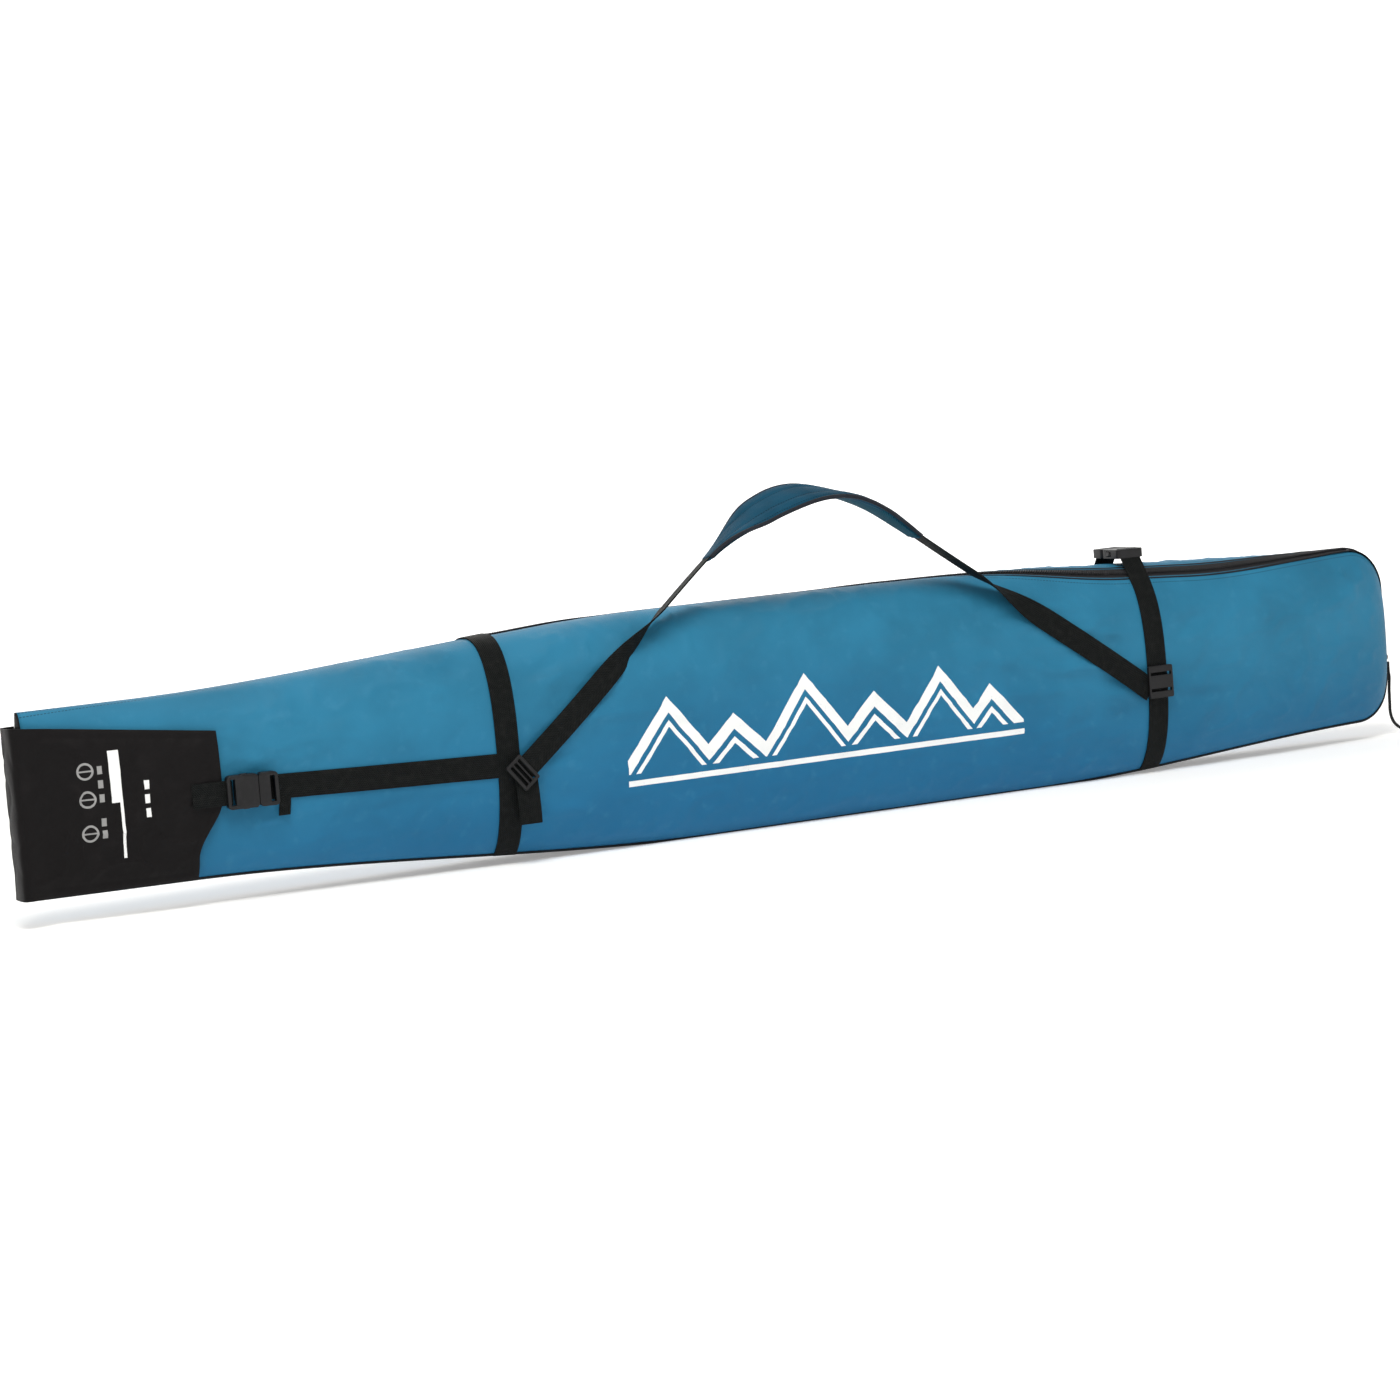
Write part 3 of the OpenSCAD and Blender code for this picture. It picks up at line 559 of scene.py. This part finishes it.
piping_radius = 0.0016
piping_cloth = dark_cloth_finish("piping_cloth", (0.008, 0.010, 0.013), 0.0009)
for name, side in (("front_piping", -1), ("back_piping", 1)):
    route = []
    for s in np.linspace(tail_x, corner_end, 240).tolist():
        seam = on_bag(s, side * section(s)[1][-1])
        seam.z = max(seam.z, piping_radius)
        route.append(seam + Vector((0, side * 0.0004, 0)))
    finished(tube_piece(name, route, piping_radius, piping_cloth, 8), "shell", "dark_fabric")

# Zip: two woven tapes with moulded nylon teeth that mesh in turn, sewn between the panels along the top,
# round the upper corner and down the tip, where the slider stands above its end stop.
zip_end_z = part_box("front_zip_tape")[0].z
zip_last = corner_end + top_line(corner_x) - corner_r - zip_end_z
tooth_pitch = 0.0028
zip_places = {}


def zip_place(s):
    """The zip's middle at a length s, and its ahead, across and outward directions."""
    if s not in zip_places:
        def middle(at):
            if at <= corner_end:
                return on_bag(at, seam_at(at))
            return Vector((tip_x, 0, top_line(corner_x) - corner_r - (at - corner_end)))

        ahead = (middle(s + 0.002) - middle(s - 0.002)).normalized()
        over = Vector((0, 1, 0))
        if s < corner_end:
            over = on_bag(s, seam_at(s) + 0.005) - on_bag(s, seam_at(s) - 0.005)
        outward = ahead.cross(over).normalized()
        zip_places[s] = middle(s), ahead, outward.cross(ahead), outward
    return zip_places[s]


def tape_finish():
    finish = Finish("zip_tape_cloth", (0.012, 0.012, 0.014), 0.75, Specular_IOR_Level=0.2)
    _, (along, across, _) = finish.place()
    ribs = (across * (2 * pi / 0.0009)).sine().eased(-0.7, 0.7)
    cloth = finish.mix(ribs, (0.007, 0.007, 0.008), (0.024, 0.024, 0.027))
    thread_row = stitches(along, abs(across), 0.0068)
    finish.feed("Base Color", finish.mix(thread_row, cloth, (0.05, 0.05, 0.055)))
    finish.relief(ribs + 2.0 * thread_row, 0.5, 0.0003)
    return finish.material


tape_cloth = tape_finish()
teeth_plastic = moulded_finish("zip_teeth_nylon", (0.018, 0.018, 0.020), 0.38)
for name, side in (("front", -1), ("back", 1)):
    def tape_spot(u, v):
        s = zip_start + (zip_last - zip_start) * u
        middle, _, across, outward = zip_place(s)
        reach = side * (half_gap + 0.003) * (v if side > 0 else 1 - v)
        return middle + reach * across - 0.0009 * outward, (s, reach)

    tape = settle(grid_piece(f"{name}_tape_cloth", 300, 4, tape_spot, tape_cloth), 0.0007)
    bm = bmesh.new()
    for i in range(int((zip_last - zip_start) / tooth_pitch) - 1):
        s = zip_start + (i + (0.75 if side > 0 else 0.25)) * tooth_pitch
        middle, ahead, across, outward = zip_place(s)
        turn = Matrix((ahead, across, outward)).transposed().to_4x4()
        spot = Matrix.Translation(middle + side * 0.0013 * across + 0.0003 * outward)
        bmesh.ops.create_cube(bm, size=1, matrix=spot @ turn @ Matrix.Diagonal((0.00125, 0.0036, 0.0021, 1)))
    bmesh.ops.bevel(
        bm, geom=bm.edges[:], offset=0.0003, segments=1, profile=0.5, material=-1, affect="EDGES")
    teeth = new_piece(f"{name}_teeth_row", bm, teeth_plastic)
    for piece, slot, kind in ((tape, "zip_tape", "zip_tape"), (teeth, "zip_teeth", "zip_teeth")):
        if side < 0:
            finished(piece, "shell", slot, f"front_{kind}")
        else:
            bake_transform(piece)
            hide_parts(f"back_{kind}")

# Slider and stops: die-cast metal in black enamel that has worn through in spots.
# The stops are crimped on the tapes; the slider's bridge holds the pull cord.
def rounded_copy(name, node, body, slot, material, radius):
    """A CAD piece of hard material with its edges rounded."""
    bm = bmesh.new()
    bm.from_mesh(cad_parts[node].data)
    bmesh.ops.remove_doubles(bm, verts=bm.verts, dist=1e-5)
    bmesh.ops.dissolve_limit(bm, angle_limit=radians(2), verts=bm.verts, edges=bm.edges)
    sharp = [e for e in bm.edges if e.is_manifold and e.calc_face_angle(0) > radians(35)]
    bmesh.ops.bevel(
        bm, geom=sharp, offset=radius, segments=2, profile=0.5, material=-1, affect="EDGES",
        clamp_overlap=True)
    bmesh.ops.triangulate(bm, faces=[f for f in bm.faces if len(f.verts) > 4])
    piece = new_piece(name, bm, material)
    piece.data.set_sharp_from_angle(angle=radians(40))
    return finished(piece, body, slot, node)


def enamel_finish():
    finish = Finish("black_enamel", (0.02, 0.02, 0.022), 0.32, Metallic=0.6)
    point, _ = finish.place("Object")
    worn = finish.blotches(point, 420, 3.0).eased(0.58, 0.74)
    finish.feed("Base Color", finish.mix(worn, (0.02, 0.02, 0.022), (0.30, 0.29, 0.28)))
    finish.feed("Roughness", 0.32 + 0.12 * worn)
    return finish.material


enamel = enamel_finish()
rounded_copy("slider_body", "zip_slider", "slider", "zip_metal", enamel, 0.0003)
rounded_copy("start_stop", "zip_start_stop", "shell", "zip_metal", enamel, 0.0003)
rounded_copy("end_stop", "zip_end_stop", "shell", "zip_metal", enamel, 0.0003)

# Ring straps: black polypropylene webbing sewn round the bag. The left one is a closed loop.
# The right one is cut at the top, where its two ends run through the slots of the buckle.
webbing_width, webbing_thick = 0.025, 0.0016
webbing_edges = -webbing_width / 2, webbing_width / 2
lay_out = 0.0003 + webbing_thick / 2


def webbing_finish():
    """Ribbed webbing: fine ribs along it, a chevron in the weave, and a little fuzz."""
    finish = Finish("black_webbing", (0.012, 0.013, 0.014), 0.55, Specular_IOR_Level=0.06)
    flat, (along, across, _) = finish.place()
    chevron = (along * 2600 + abs(across) * 2300).sine().eased(-0.7, 0.7)
    ribs = (across * (2 * pi / 0.0021)).sine().eased(-0.8, 0.8)
    threads = 0.6 * chevron + 0.4 * ribs
    fuzz = finish.blotches(flat, 150, 3.0).eased(0.4, 0.8)
    cloth = finish.mix(threads, (0.0015, 0.002, 0.002), (0.012, 0.014, 0.014))
    finish.feed("Base Color", finish.mix(0.25 * fuzz, cloth, (0.030, 0.030, 0.029)))
    finish.relief(threads, 1.0, 0.0007)
    return finish.material


webbing = webbing_finish()


def band(name, rows, thick=webbing_thick, material=webbing, closed=False, steps=None):
    """Webbing between two edges, given as pairs of points along it."""
    middles = [(a + b) / 2 for a, b in rows]
    run = np.concatenate(([0], np.cumsum([(q - p).length for p, q in zip(middles, middles[1:])])))
    last = len(rows) - 1

    def place(u, v):
        i = min(last - 1, int(u * last))
        t = u * last - i
        a, b = rows[i][0].lerp(rows[i + 1][0], t), rows[i][1].lerp(rows[i + 1][1], t)
        return a.lerp(b, v), (np.interp(u * last, range(last + 1), run), (v - 0.5) * (b - a).length)

    piece = grid_piece(name, steps or last, 6, place, material, closed)
    return settle(piece, thick, offset=0.0, rim=0.0004)


def ring_rows(x, w_from, w_to, count):
    """Rows of a ring strap over the panels, from one distance round the bag to another."""
    rows = []
    for w in np.linspace(w_from, w_to, count).tolist():
        share = w / section(x)[1][-1]
        rows.append(tuple(on_bag(x + d, share * section(x + d)[1][-1], lay_out) for d in webbing_edges))
    return rows


def under_rows(x, y_from, y_to, count):
    """Rows of a ring strap under the base."""
    return [
        tuple(Vector((x + d, y, bottom_line(x + d) - lay_out)) for d in webbing_edges)
        for y in np.linspace(y_from, y_to, count).tolist()]


left_reach = section(left_ring)[1][-1]
left_base = half_base * half_at(left_ring) / half_thick
left_rows = ring_rows(left_ring, -left_reach, left_reach, 90)
left_rows += under_rows(left_ring, left_base, -left_base, 14)
left_strap = band("left_ring_webbing", left_rows + left_rows[:1], closed=True)
finished(left_strap, "shell", "webbing", "left_ring_strap")

buckle_low, buckle_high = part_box("top_buckle_socket")
slot_inset = 0.006
slot_y = -buckle_low.y - slot_inset
slot_top = (buckle_low.z + buckle_high.z) / 2
right_reach = section(right_ring)[1][-1]
leave_w = 0.052
for name, side, body in (("front", -1, "shell"), ("back", 1, "opening_back")):
    start = [] if side > 0 else under_rows(right_ring, 0.028, -0.030, 14)
    reach = right_reach * (1 if side < 0 else 0.93)
    rows = start + ring_rows(right_ring, side * reach, side * leave_w, 56)
    leaving = (rows[-1][0] + rows[-1][1]) / 2
    rise = [leaving, Vector((right_ring, side * (slot_y + 0.006), slot_top - 0.007)),
            Vector((right_ring, side * (slot_y + 0.001), slot_top + 0.001)),
            Vector((right_ring, side * (slot_y - 0.002), slot_top + 0.0045)),
            Vector((right_ring, side * (slot_y - 0.004), slot_top + 0.001))]
    half_width = Vector((webbing_width / 2, 0, 0))
    rows += [(p - half_width, p + half_width) for p in smooth_line(rise, 26)[1:]]
    piece = band(f"right_ring_webbing_{name}", rows)
    finished(piece, body, "webbing", f"right_ring_strap_{name}")

# Buckles and hardware: moulded acetal. Both buckles are side-release, with a socket, a plug and two prongs.
# A ladder lock holds the shoulder strap at the left ring strap, and a tri-glide sits on the right one.
acetal = moulded_finish("black_acetal", (0.008, 0.008, 0.009), 0.36)
for node, body in (
        ("top_buckle_socket", "shell"), ("top_buckle_plug", "opening_back"),
        ("top_buckle_prongs", "opening_back"), ("tail_buckle_socket", "folding_tail"),
        ("tail_buckle_plug", "tail_plug"), ("tail_buckle_prongs", "tail_plug"),
        ("left_ladder_lock", "strap_lock"), ("right_tri_glide", "shell")):
    rounded_copy(f"{node}_moulded", node, body, "hardware", acetal, 0.0007)


# Tail strap: webbing on the front from the left ring strap to the tail buckle's plug.
# It is doubled back through the plug's slot, and its loose end hangs under the buckle.
def face_y(x, z, out):
    """Y of the front panel's plain shape at an X and Z, a little way out from it."""
    power = 2 / section_power
    k_base, k_top = (abs(sin(a)) ** power for a in (base_angle, zip_angle))
    height = (top_line(x) - bottom_line(x) + 2 * out) / (k_base + k_top)
    share = min(1.0, abs(z - bottom_line(x) + out - k_base * height) / height)
    return -max(half_gap, (half_at(x) + out) * (1 - share ** section_power) ** (1 / section_power))


def face_rows(x_from, x_to, z_from, z_to, width, out, count):
    """Rows of webbing that lies on the front panel."""
    rows = []
    for t in np.linspace(0, 1, count).tolist():
        x, z = x_from + (x_to - x_from) * t, z_from + (z_to - z_from) * t
        rows.append(tuple(Vector((x, face_y(x, z + e, out), z + e)) for e in (-width / 2, width / 2)))
    return rows


plug_low, plug_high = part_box("tail_buckle_plug")
tail_buckle_z = (plug_low.z + plug_high.z) / 2
anchor_low, anchor_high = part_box("right_anchor_tab")
anchor_z = anchor_low.z + 0.002
strap_from = plug_high.x - slot_inset
strap_rows = face_rows(strap_from, left_ring - webbing_width / 2 + 0.004, tail_buckle_z, anchor_z + 0.009,
                       webbing_width, lay_out, 60)
finished(band("tail_strap_webbing", strap_rows), "shell", "webbing", "tail_strap")
end_low, end_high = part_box("tail_strap_end")
end_rows = []
for t in np.linspace(0, 1, 10).tolist():
    z = tail_buckle_z - 0.010 + (end_low.z - tail_buckle_z + 0.010) * t
    out = lay_out + 0.0004 + 0.0025 * t
    end_rows.append(tuple(Vector((x - 0.003 * t, face_y(x, z, out), z)) for x in (end_low.x, end_high.x)))
finished(band("tail_strap_loose_end", end_rows), "shell", "webbing", "tail_strap_end")

# Tail flap: the end of the bag, in padded black cloth, folded forwards over the front.
# It is cut back at its foot, carries plain care marks, and has a webbing tab to the tail buckle.
flap_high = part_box("tail_flap")[1]
flap_thick, flap_gap, flap_foot = 0.006, 0.001, 0.0005
roll_r = 0.007
roll_x, roll_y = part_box("tail_fold_roll")[0].x + roll_r, -tail_half - 0.003
flap_top_fold, flap_top_end = flap_high.z, 0.176
flap_end = flap_high.x
flap_black = (0.0048, 0.0040, 0.0044)


def flap_edge(z):
    """X of the flap's free end, which is cut back low down."""
    return flap_end - 0.027 * ramp(0.110 - z, 0, 0.060)


def flap_marks(finish, cloth):
    """Prints: a white label, line and three dashes, and three grey care signs with dashes."""
    _, (x, _, z) = finish.place("Object")

    def patch(x_from, x_to, z_from, z_to):
        return (x > x_from) * (x < x_to) * (z > z_from) * (z < z_to)

    def ring(at_x, at_z, radius, line):
        reach = ((x - at_x) * (x - at_x) + (z - at_z) * (z - at_z)).root()
        return abs(reach - radius) < line / 2

    white = patch(-0.728, -0.717, 0.116, 0.168) | patch(-0.720, -0.717, 0.060, 0.116)
    for low in (0.098, 0.112, 0.126):
        white = white | patch(-0.695, -0.690, low, low + 0.009)
    grey = None
    for at_z in (0.150, 0.122, 0.088):
        sign = ring(-0.752, at_z, 0.0075, 0.0022) | patch(-0.7605, -0.7435, at_z - 0.0008, at_z + 0.0008)
        grey = sign if grey is None else grey | sign
    for low in (0.082, 0.094, 0.118, 0.132, 0.146):
        grey = grey | patch(-0.740, -0.735, low, low + 0.008)
    cloth = finish.mix(0.55 * grey, cloth, (0.55, 0.55, 0.55))
    return finish.mix(white, cloth, white_ink)


flap_cloth = dark_cloth_finish("flap_cloth", flap_black, 0.0014, flap_marks, 0.11)
roll_cloth = dark_cloth_finish("fold_cloth", flap_black, 0.0014, None, 0.11)


def flap_spot(u, v):
    guess = roll_x + (flap_end - roll_x) * u
    foot = bottom_line(guess) + flap_foot
    z = foot + (flap_top_fold + (flap_top_end - flap_top_fold) * u - foot) * v
    x = roll_x + (flap_edge(z) - roll_x) * u
    near_edge = min(u * 0.2, (1 - u) * 0.2, v * 0.17, (1 - v) * 0.17)
    swell = ramp(near_edge, 0.0, 0.018)
    wrinkle = (2.4 * crease(x * 15 + z * 10, z * 26 - x * 8, 21, 3)
               + 1.2 * crease(x * 50, z * 40, 25, 3) + 0.8 * noise.noise((x * 20, z * 20, 29)))
    wrinkle += 3.2 * (1 - ramp(u, 0.15, 0.50)) * crease(x * 26 + sin(z * 30) * 0.3, z * 9, 27, 2) - 1.4
    hem = 0.0008 * (1 - ramp(abs(near_edge - 0.009), 0.0008, 0.003))
    out = flap_gap + flap_thick - 0.0007 + 0.001 * swell * wrinkle - hem
    at_fold = roll_y - roll_r + 0.0003 - 0.0004 * swell * wrinkle
    y = at_fold + (face_y(max(x, tail_x), z, out) - at_fold) * ramp(u, 0, 0.2)
    return Vector((x, y, z)), (x, z)


flap = grid_piece("tail_flap_cloth", 76, 64, flap_spot, flap_cloth)
flap = settle(flap, 0.0050, rim=0.0016, inside=lining_nylon)
finished(flap, "folding_tail", "dark_fabric", "tail_flap")


fold_columns = 24
fold_line = smooth_line([Vector(p) for p in (
    (tail_x - 0.001, tail_half - 0.004, 0), (roll_x - 0.0045, tail_half - 0.007, 0),
    (roll_x - roll_r + 0.0008, 0.0, 0), (roll_x - roll_r + 0.0006, roll_y + 0.003, 0),
    (roll_x - 0.0045, roll_y - 0.0053, 0), (roll_x + 0.0005, roll_y - roll_r + 0.0004, 0))], fold_columns)


def fold_spot(u, v):
    """The bend between the closed tail and the flap, a half round seen from above."""
    foot = bottom_line(roll_x) + flap_foot
    z = foot + (flap_top_fold - foot) * v
    point = fold_line[round(u * fold_columns)].copy()
    point.z = z
    dent = 0.0009 * crease(u * 2, z * 34, 31, 2) * ramp(v, 0, 0.1) * (1 - ramp(v, 0.9, 1))
    point.x += dent
    return point, (u * 0.045, z)


fold = settle(grid_piece("tail_fold_cloth", fold_columns, 60, fold_spot, roll_cloth), 0.0018, rim=0.0005)
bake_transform(fold)
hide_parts("tail_fold_roll")

tab_from = flap_end - 0.032
tab_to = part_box("tail_flap_tab")[1].x
tab_out = flap_gap + flap_thick + 0.0016
tab_rows = face_rows(tab_from, tab_to, tail_buckle_z, tail_buckle_z, webbing_width, tab_out, 24)
finished(band("flap_tab_webbing", tab_rows), "folding_tail", "webbing", "tail_flap_tab")

# Shoulder strap ends: a folded tab of webbing is sewn to each ring strap, behind the hardware,
# and the strap's spare length hangs below the ladder lock.
tab_low, tab_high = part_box("left_anchor_tab")
left_anchor = Vector([(tab_low[i] + tab_high[i]) / 2 for i in range(3)])
right_anchor = Vector((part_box("right_anchor_tab")[0].x - 0.003, left_anchor.y, anchor_z))
pad_low, pad_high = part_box("pad_cover")
leg_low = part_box("left_shoulder_webbing")[0]
pad_end_z, pad_top_z = 0.292, 0.352
pad_left, pad_right = -0.062, 0.196
left_leg = Vector((pad_left - left_anchor.x, 0, pad_end_z - left_anchor.z)).normalized()
flat_of_leg = Vector((-left_leg.z, 0, left_leg.x)) * webbing_width / 2
left_tab_line = [left_anchor + left_leg * t for t in np.linspace(-0.009, 0.009, 8).tolist()]
left_tab_rows = [(p - flat_of_leg, p + flat_of_leg) for p in left_tab_line]
finished(band("left_anchor_webbing", left_tab_rows), "shell", "webbing", "left_anchor_tab")
right_tab_rows = [
    (Vector((anchor_low.x, left_anchor.y, z)), Vector((anchor_high.x, left_anchor.y, z)))
    for z in np.linspace(anchor_low.z, anchor_high.z, 8).tolist()]
finished(band("right_anchor_webbing", right_tab_rows), "shell", "webbing", "right_anchor_tab")
spare_low, spare_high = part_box("left_strap_tail")
spare_top = spare_high.z + 0.013
spare_rows = []
for t in np.linspace(0, 1, 16).tolist():
    z = spare_top + (spare_low.z - spare_top) * t
    y = left_anchor.y - 0.0012 * sin(3 * t)
    left_side = Vector((spare_low.x + 0.002 * t, y, z))
    right_side = Vector((spare_high.x + 0.001 * t, y - 0.001 * t, z))
    spare_rows.append((left_side, right_side))
finished(band("left_strap_spare", spare_rows), "shell", "webbing", "left_strap_tail")

# Shoulder webbing: each leg leaves its anchor flat on the front and twists about a quarter turn on its
# way up, so that it lies across the shoulder where it is sewn into the pad's ends.
pad_lean, end_lean = radians(21), radians(12)
strap_y_low = leg_low.y + webbing_thick / 2
strap_y_high = (pad_low.y + pad_high.y) / 2
sewn_in = 0.009


def leg_rows(anchor, end_x, side, twist, lead, tuck, count=90):
    """Rows from near the anchor, with any tuck behind its hardware, to inside the pad's end."""
    end = Vector((end_x, 0, pad_end_z))
    start = Vector((anchor.x, 0, anchor.z))
    ahead = (end - start).normalized()
    start = start + lead * ahead
    end = end + sewn_in * ahead
    rows = []
    for t in np.linspace(0, 1, count).tolist():
        point = start.lerp(end, t)
        turn = twist * ramp(point.z, 0.180, 0.248)
        near = ramp(point.z, anchor.z + 0.030, pad_end_z)
        behind = 1 - ramp((point - start).length, 0.008, 0.026)
        point.y = strap_y_low + (strap_y_high - strap_y_low) * near + tuck * behind
        across = side * cos(turn) * Vector((-ahead.z, 0, ahead.x)) + Vector((0, sin(turn), 0))
        half = webbing_width / 2 * across
        rows.append((point - half, point + half))
    return rows


for name, anchor, end_x, side, twist, lead, tuck in (
        ("left", left_anchor, pad_left, 1, end_lean - pi / 2, 0.006, 0),
        ("right", right_anchor, pad_right, -1, pi / 2, -0.004, 0.0022)):
    rows = leg_rows(anchor, end_x, side, twist, lead, tuck)
    leg = band(f"{name}_leg_webbing", rows)
    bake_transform(leg)
    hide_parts(f"{name}_shoulder_webbing")

# Shoulder pad: closed-cell foam between a blue cover and a spacer-mesh lining, bound along both edges.
# It is bent over an arch, narrows to the webbing at its ends, and is quilted by two lines of stitching.
pad_half_width, pad_thick = 0.025, 0.0094
pad_middle, pad_half_length = (pad_left + pad_right) / 2, (pad_right - pad_left) / 2
arch_power = 1.9
pad_blue = (0.004, 0.047, 0.088)


def arch(s):
    return Vector((
        pad_middle + pad_half_length * s, strap_y_high,
        pad_end_z + (pad_top_z - pad_end_z) * (1 - abs(s) ** arch_power)))


def arch_up(s):
    along = (arch(min(1, s + 0.02)) - arch(max(-1, s - 0.02))).normalized()
    return Vector((-along.z, 0, along.x))


def pad_frame(s):
    """Across and up for the pad, which leans forwards left of its middle and a little back at that end."""
    forwards = (pad_lean + end_lean) * ramp(s, -1.0, -0.45) * (1 - ramp(s, -0.35, 0.45))
    lean = forwards - end_lean * (1 - ramp(s, -1.0, 0.2))
    across, up = Vector((0, 1, 0)), arch_up(s)
    return across * cos(lean) + up * sin(lean), up * cos(lean) - across * sin(lean)


def pad_width_at(s):
    return pad_half_width * (0.55 + 0.45 * (1 - ramp(abs(s), 0.50, 1.0)))


def pad_finish():
    finish = Finish("pad_cloth", pad_blue, 0.6, Specular_IOR_Level=0.08)
    flat, (along, across, _) = finish.place()
    threads = weave(finish, along, across, 0.0012)
    cloudy = finish.blotches(flat, 22, 3.0).eased(0.3, 0.7)
    cloth = finish.mix(cloudy, tint(pad_blue, 0.8), tint(pad_blue, 1.25))
    cloth = finish.mix(0.35 * threads, cloth, tint(pad_blue, 1.6))
    rows = stitches(along, abs(across - 0.027), 0.0095) | stitches(along, abs(across - 0.027), 0.0205)
    finish.feed("Base Color", finish.mix(rows, cloth, tint(pad_blue, 0.45)))
    finish.relief(threads - 2.0 * rows, 0.4, 0.0004)
    return finish.material


def pad_spot(u, v):
    """A crowned, closed section: v goes round it, from its back edge over the top."""
    s = 1.98 * u - 0.99
    turn = 2 * pi * v
    width = pad_width_at(s) - 0.0015
    side, lift = cos(turn), sin(turn)
    y = width * copysign(abs(side) ** 0.55, side)
    crown = pad_thick / 2 * (0.92 - 0.30 * ramp(abs(s), 0.80, 1.0))
    height = crown * copysign(abs(lift) ** 0.75, lift)
    channel = float(np.exp(-((abs(y) - 0.0095) / 0.0016) ** 2))
    height *= 1 - 0.26 * channel * (1 - ramp(abs(s), 0.85, 0.95))
    height += 0.0006 * noise.noise((s * 9, y * 60, 41)) * abs(lift)
    middle = -0.0008
    across, up = pad_frame(s)
    return arch(s) + up * (middle + height) + across * y, (s * 0.15, y + 0.027)


pad = closed_up(grid_piece("pad_padding", 150, 56, pad_spot, pad_finish(), closed=True))
finished(pad, "shoulder_strap", "pad_fabric", "pad_cover", "pad_foam")


def mesh_finish():
    """Spacer mesh: rows of small round holes over a dark core."""
    finish = Finish("spacer_mesh", (0.01, 0.07, 0.11), 0.8, Specular_IOR_Level=0.1)
    _, (along, across, _) = finish.place()
    holes = ((along * 1900).sine() * (across * 1900).sine()).eased(0.2, 0.6)
    finish.feed("Base Color", finish.mix(holes, (0.012, 0.082, 0.125), (0.004, 0.024, 0.038)))
    finish.relief(1 - holes, 0.8, 0.0008)
    return finish.material


def lining_spot(u, v):
    s = 1.94 * u - 0.97
    y = (v - 0.5) * 2 * (pad_width_at(s) - 0.003)
    sag = pad_thick / 2 * (0.92 - 0.30 * ramp(abs(s), 0.80, 1.0)) * (1 - (abs(y) / pad_half_width) ** 3)
    across, up = pad_frame(s)
    return arch(s) - up * (0.0012 + sag) + across * y, (s * 0.15, y)


lining = settle(grid_piece("pad_lining_mesh", 110, 20, lining_spot, mesh_finish()), 0.0007, offset=0.0)
finished(lining, "shoulder_strap", "pad_mesh", "pad_lining")
binding_cloth = dark_cloth_finish("binding_tape", (0.014, 0.017, 0.024), 0.0008)
for name, side in (("front", -1), ("back", 1)):
    route = []
    for s in np.linspace(-0.985, 0.985, 130).tolist():
        across, up = pad_frame(s)
        route.append(arch(s) + side * (pad_width_at(s) - 0.0016) * across - 0.0008 * up)
    piece = tube_piece(f"pad_binding_tape_{name}", route, 0.0023, binding_cloth, 10)
    finished(piece, "shoulder_strap", "binding", f"pad_binding_{name}")

# Studio: a pale floor that sweeps up behind the bag, and soft lights over and in front of it.
floor_half, sweep_radius, sweep_from = 16.0, 4.0, 4.0
finish = Finish("pale_floor", (0.88, 0.88, 0.88), 0.9, Emission_Strength=0.3)
_, (aside, away, _) = finish.place("Object")
distance = (aside * aside + away * away).root()
finish.feed("Emission Color", finish.mix(distance.eased(1.0, 4.0), (0.9, 0.9, 0.9), (3.2, 3.2, 3.2)))
bm = bmesh.new()
left_edge = bm.verts.new((-floor_half, -floor_half, 0))
right_edge = bm.verts.new((floor_half, -floor_half, 0))
edge = bm.edges.new((left_edge, right_edge))
made = bmesh.ops.extrude_edge_only(bm, edges=[edge])["geom"]
far = [g for g in made if isinstance(g, bmesh.types.BMVert)]
bmesh.ops.translate(bm, vec=(0, floor_half + sweep_from, 0), verts=far)
far_edge = [g for g in made if isinstance(g, bmesh.types.BMEdge)]
bmesh.ops.spin(
    bm, geom=far_edge, cent=(0, sweep_from, sweep_radius), axis=(1, 0, 0), angle=pi / 2, steps=24)
bmesh.ops.recalc_face_normals(bm, faces=bm.faces)
floor = new_piece("floor", bm, finish.material)

world = bpy.data.worlds.new("studio")
world.use_nodes = True
world.node_tree.nodes["Background"].inputs["Color"].default_value = (1, 1, 1, 1)
sky = world.node_tree
direction = sky.nodes.new("ShaderNodeTexCoord")
split = sky.nodes.new("ShaderNodeSeparateXYZ")
dimmed = sky.nodes.new("ShaderNodeMapRange")
for key, value in (("From Min", 0.08), ("From Max", 0.25), ("To Min", 1.0), ("To Max", 0.32)):
    dimmed.inputs[key].default_value = value
sky.links.new(direction.outputs["Generated"], split.inputs[0])
sky.links.new(split.outputs[2], dimmed.inputs["Value"])
sky.links.new(dimmed.outputs[0], sky.nodes["Background"].inputs["Strength"])
bpy.context.scene.world = world
bpy.context.scene.view_settings.view_transform = "Standard"
for name, place, size, watts in (
        ("key", (-1.0, -1.7, 3.4), 1.8, 112), ("fill", (2.4, -2.8, 1.6), 2.4, 10),
        ("rear", (0.5, 2.2, 2.6), 2.4, 40)):
    lamp = bpy.data.lights.new(name, "AREA")
    lamp.shape, lamp.size, lamp.energy = "SQUARE", size, watts
    lamp.color = (1.0, 0.975, 0.92)
    light = bpy.data.objects.new(name, lamp)
    turn = (Vector((0, 0, 0.1)) - Vector(place)).to_track_quat("-Z", "Y").to_matrix().to_4x4()
    light.matrix_world = Matrix.Translation(place) @ turn
    bpy.context.scene.collection.objects.link(light)
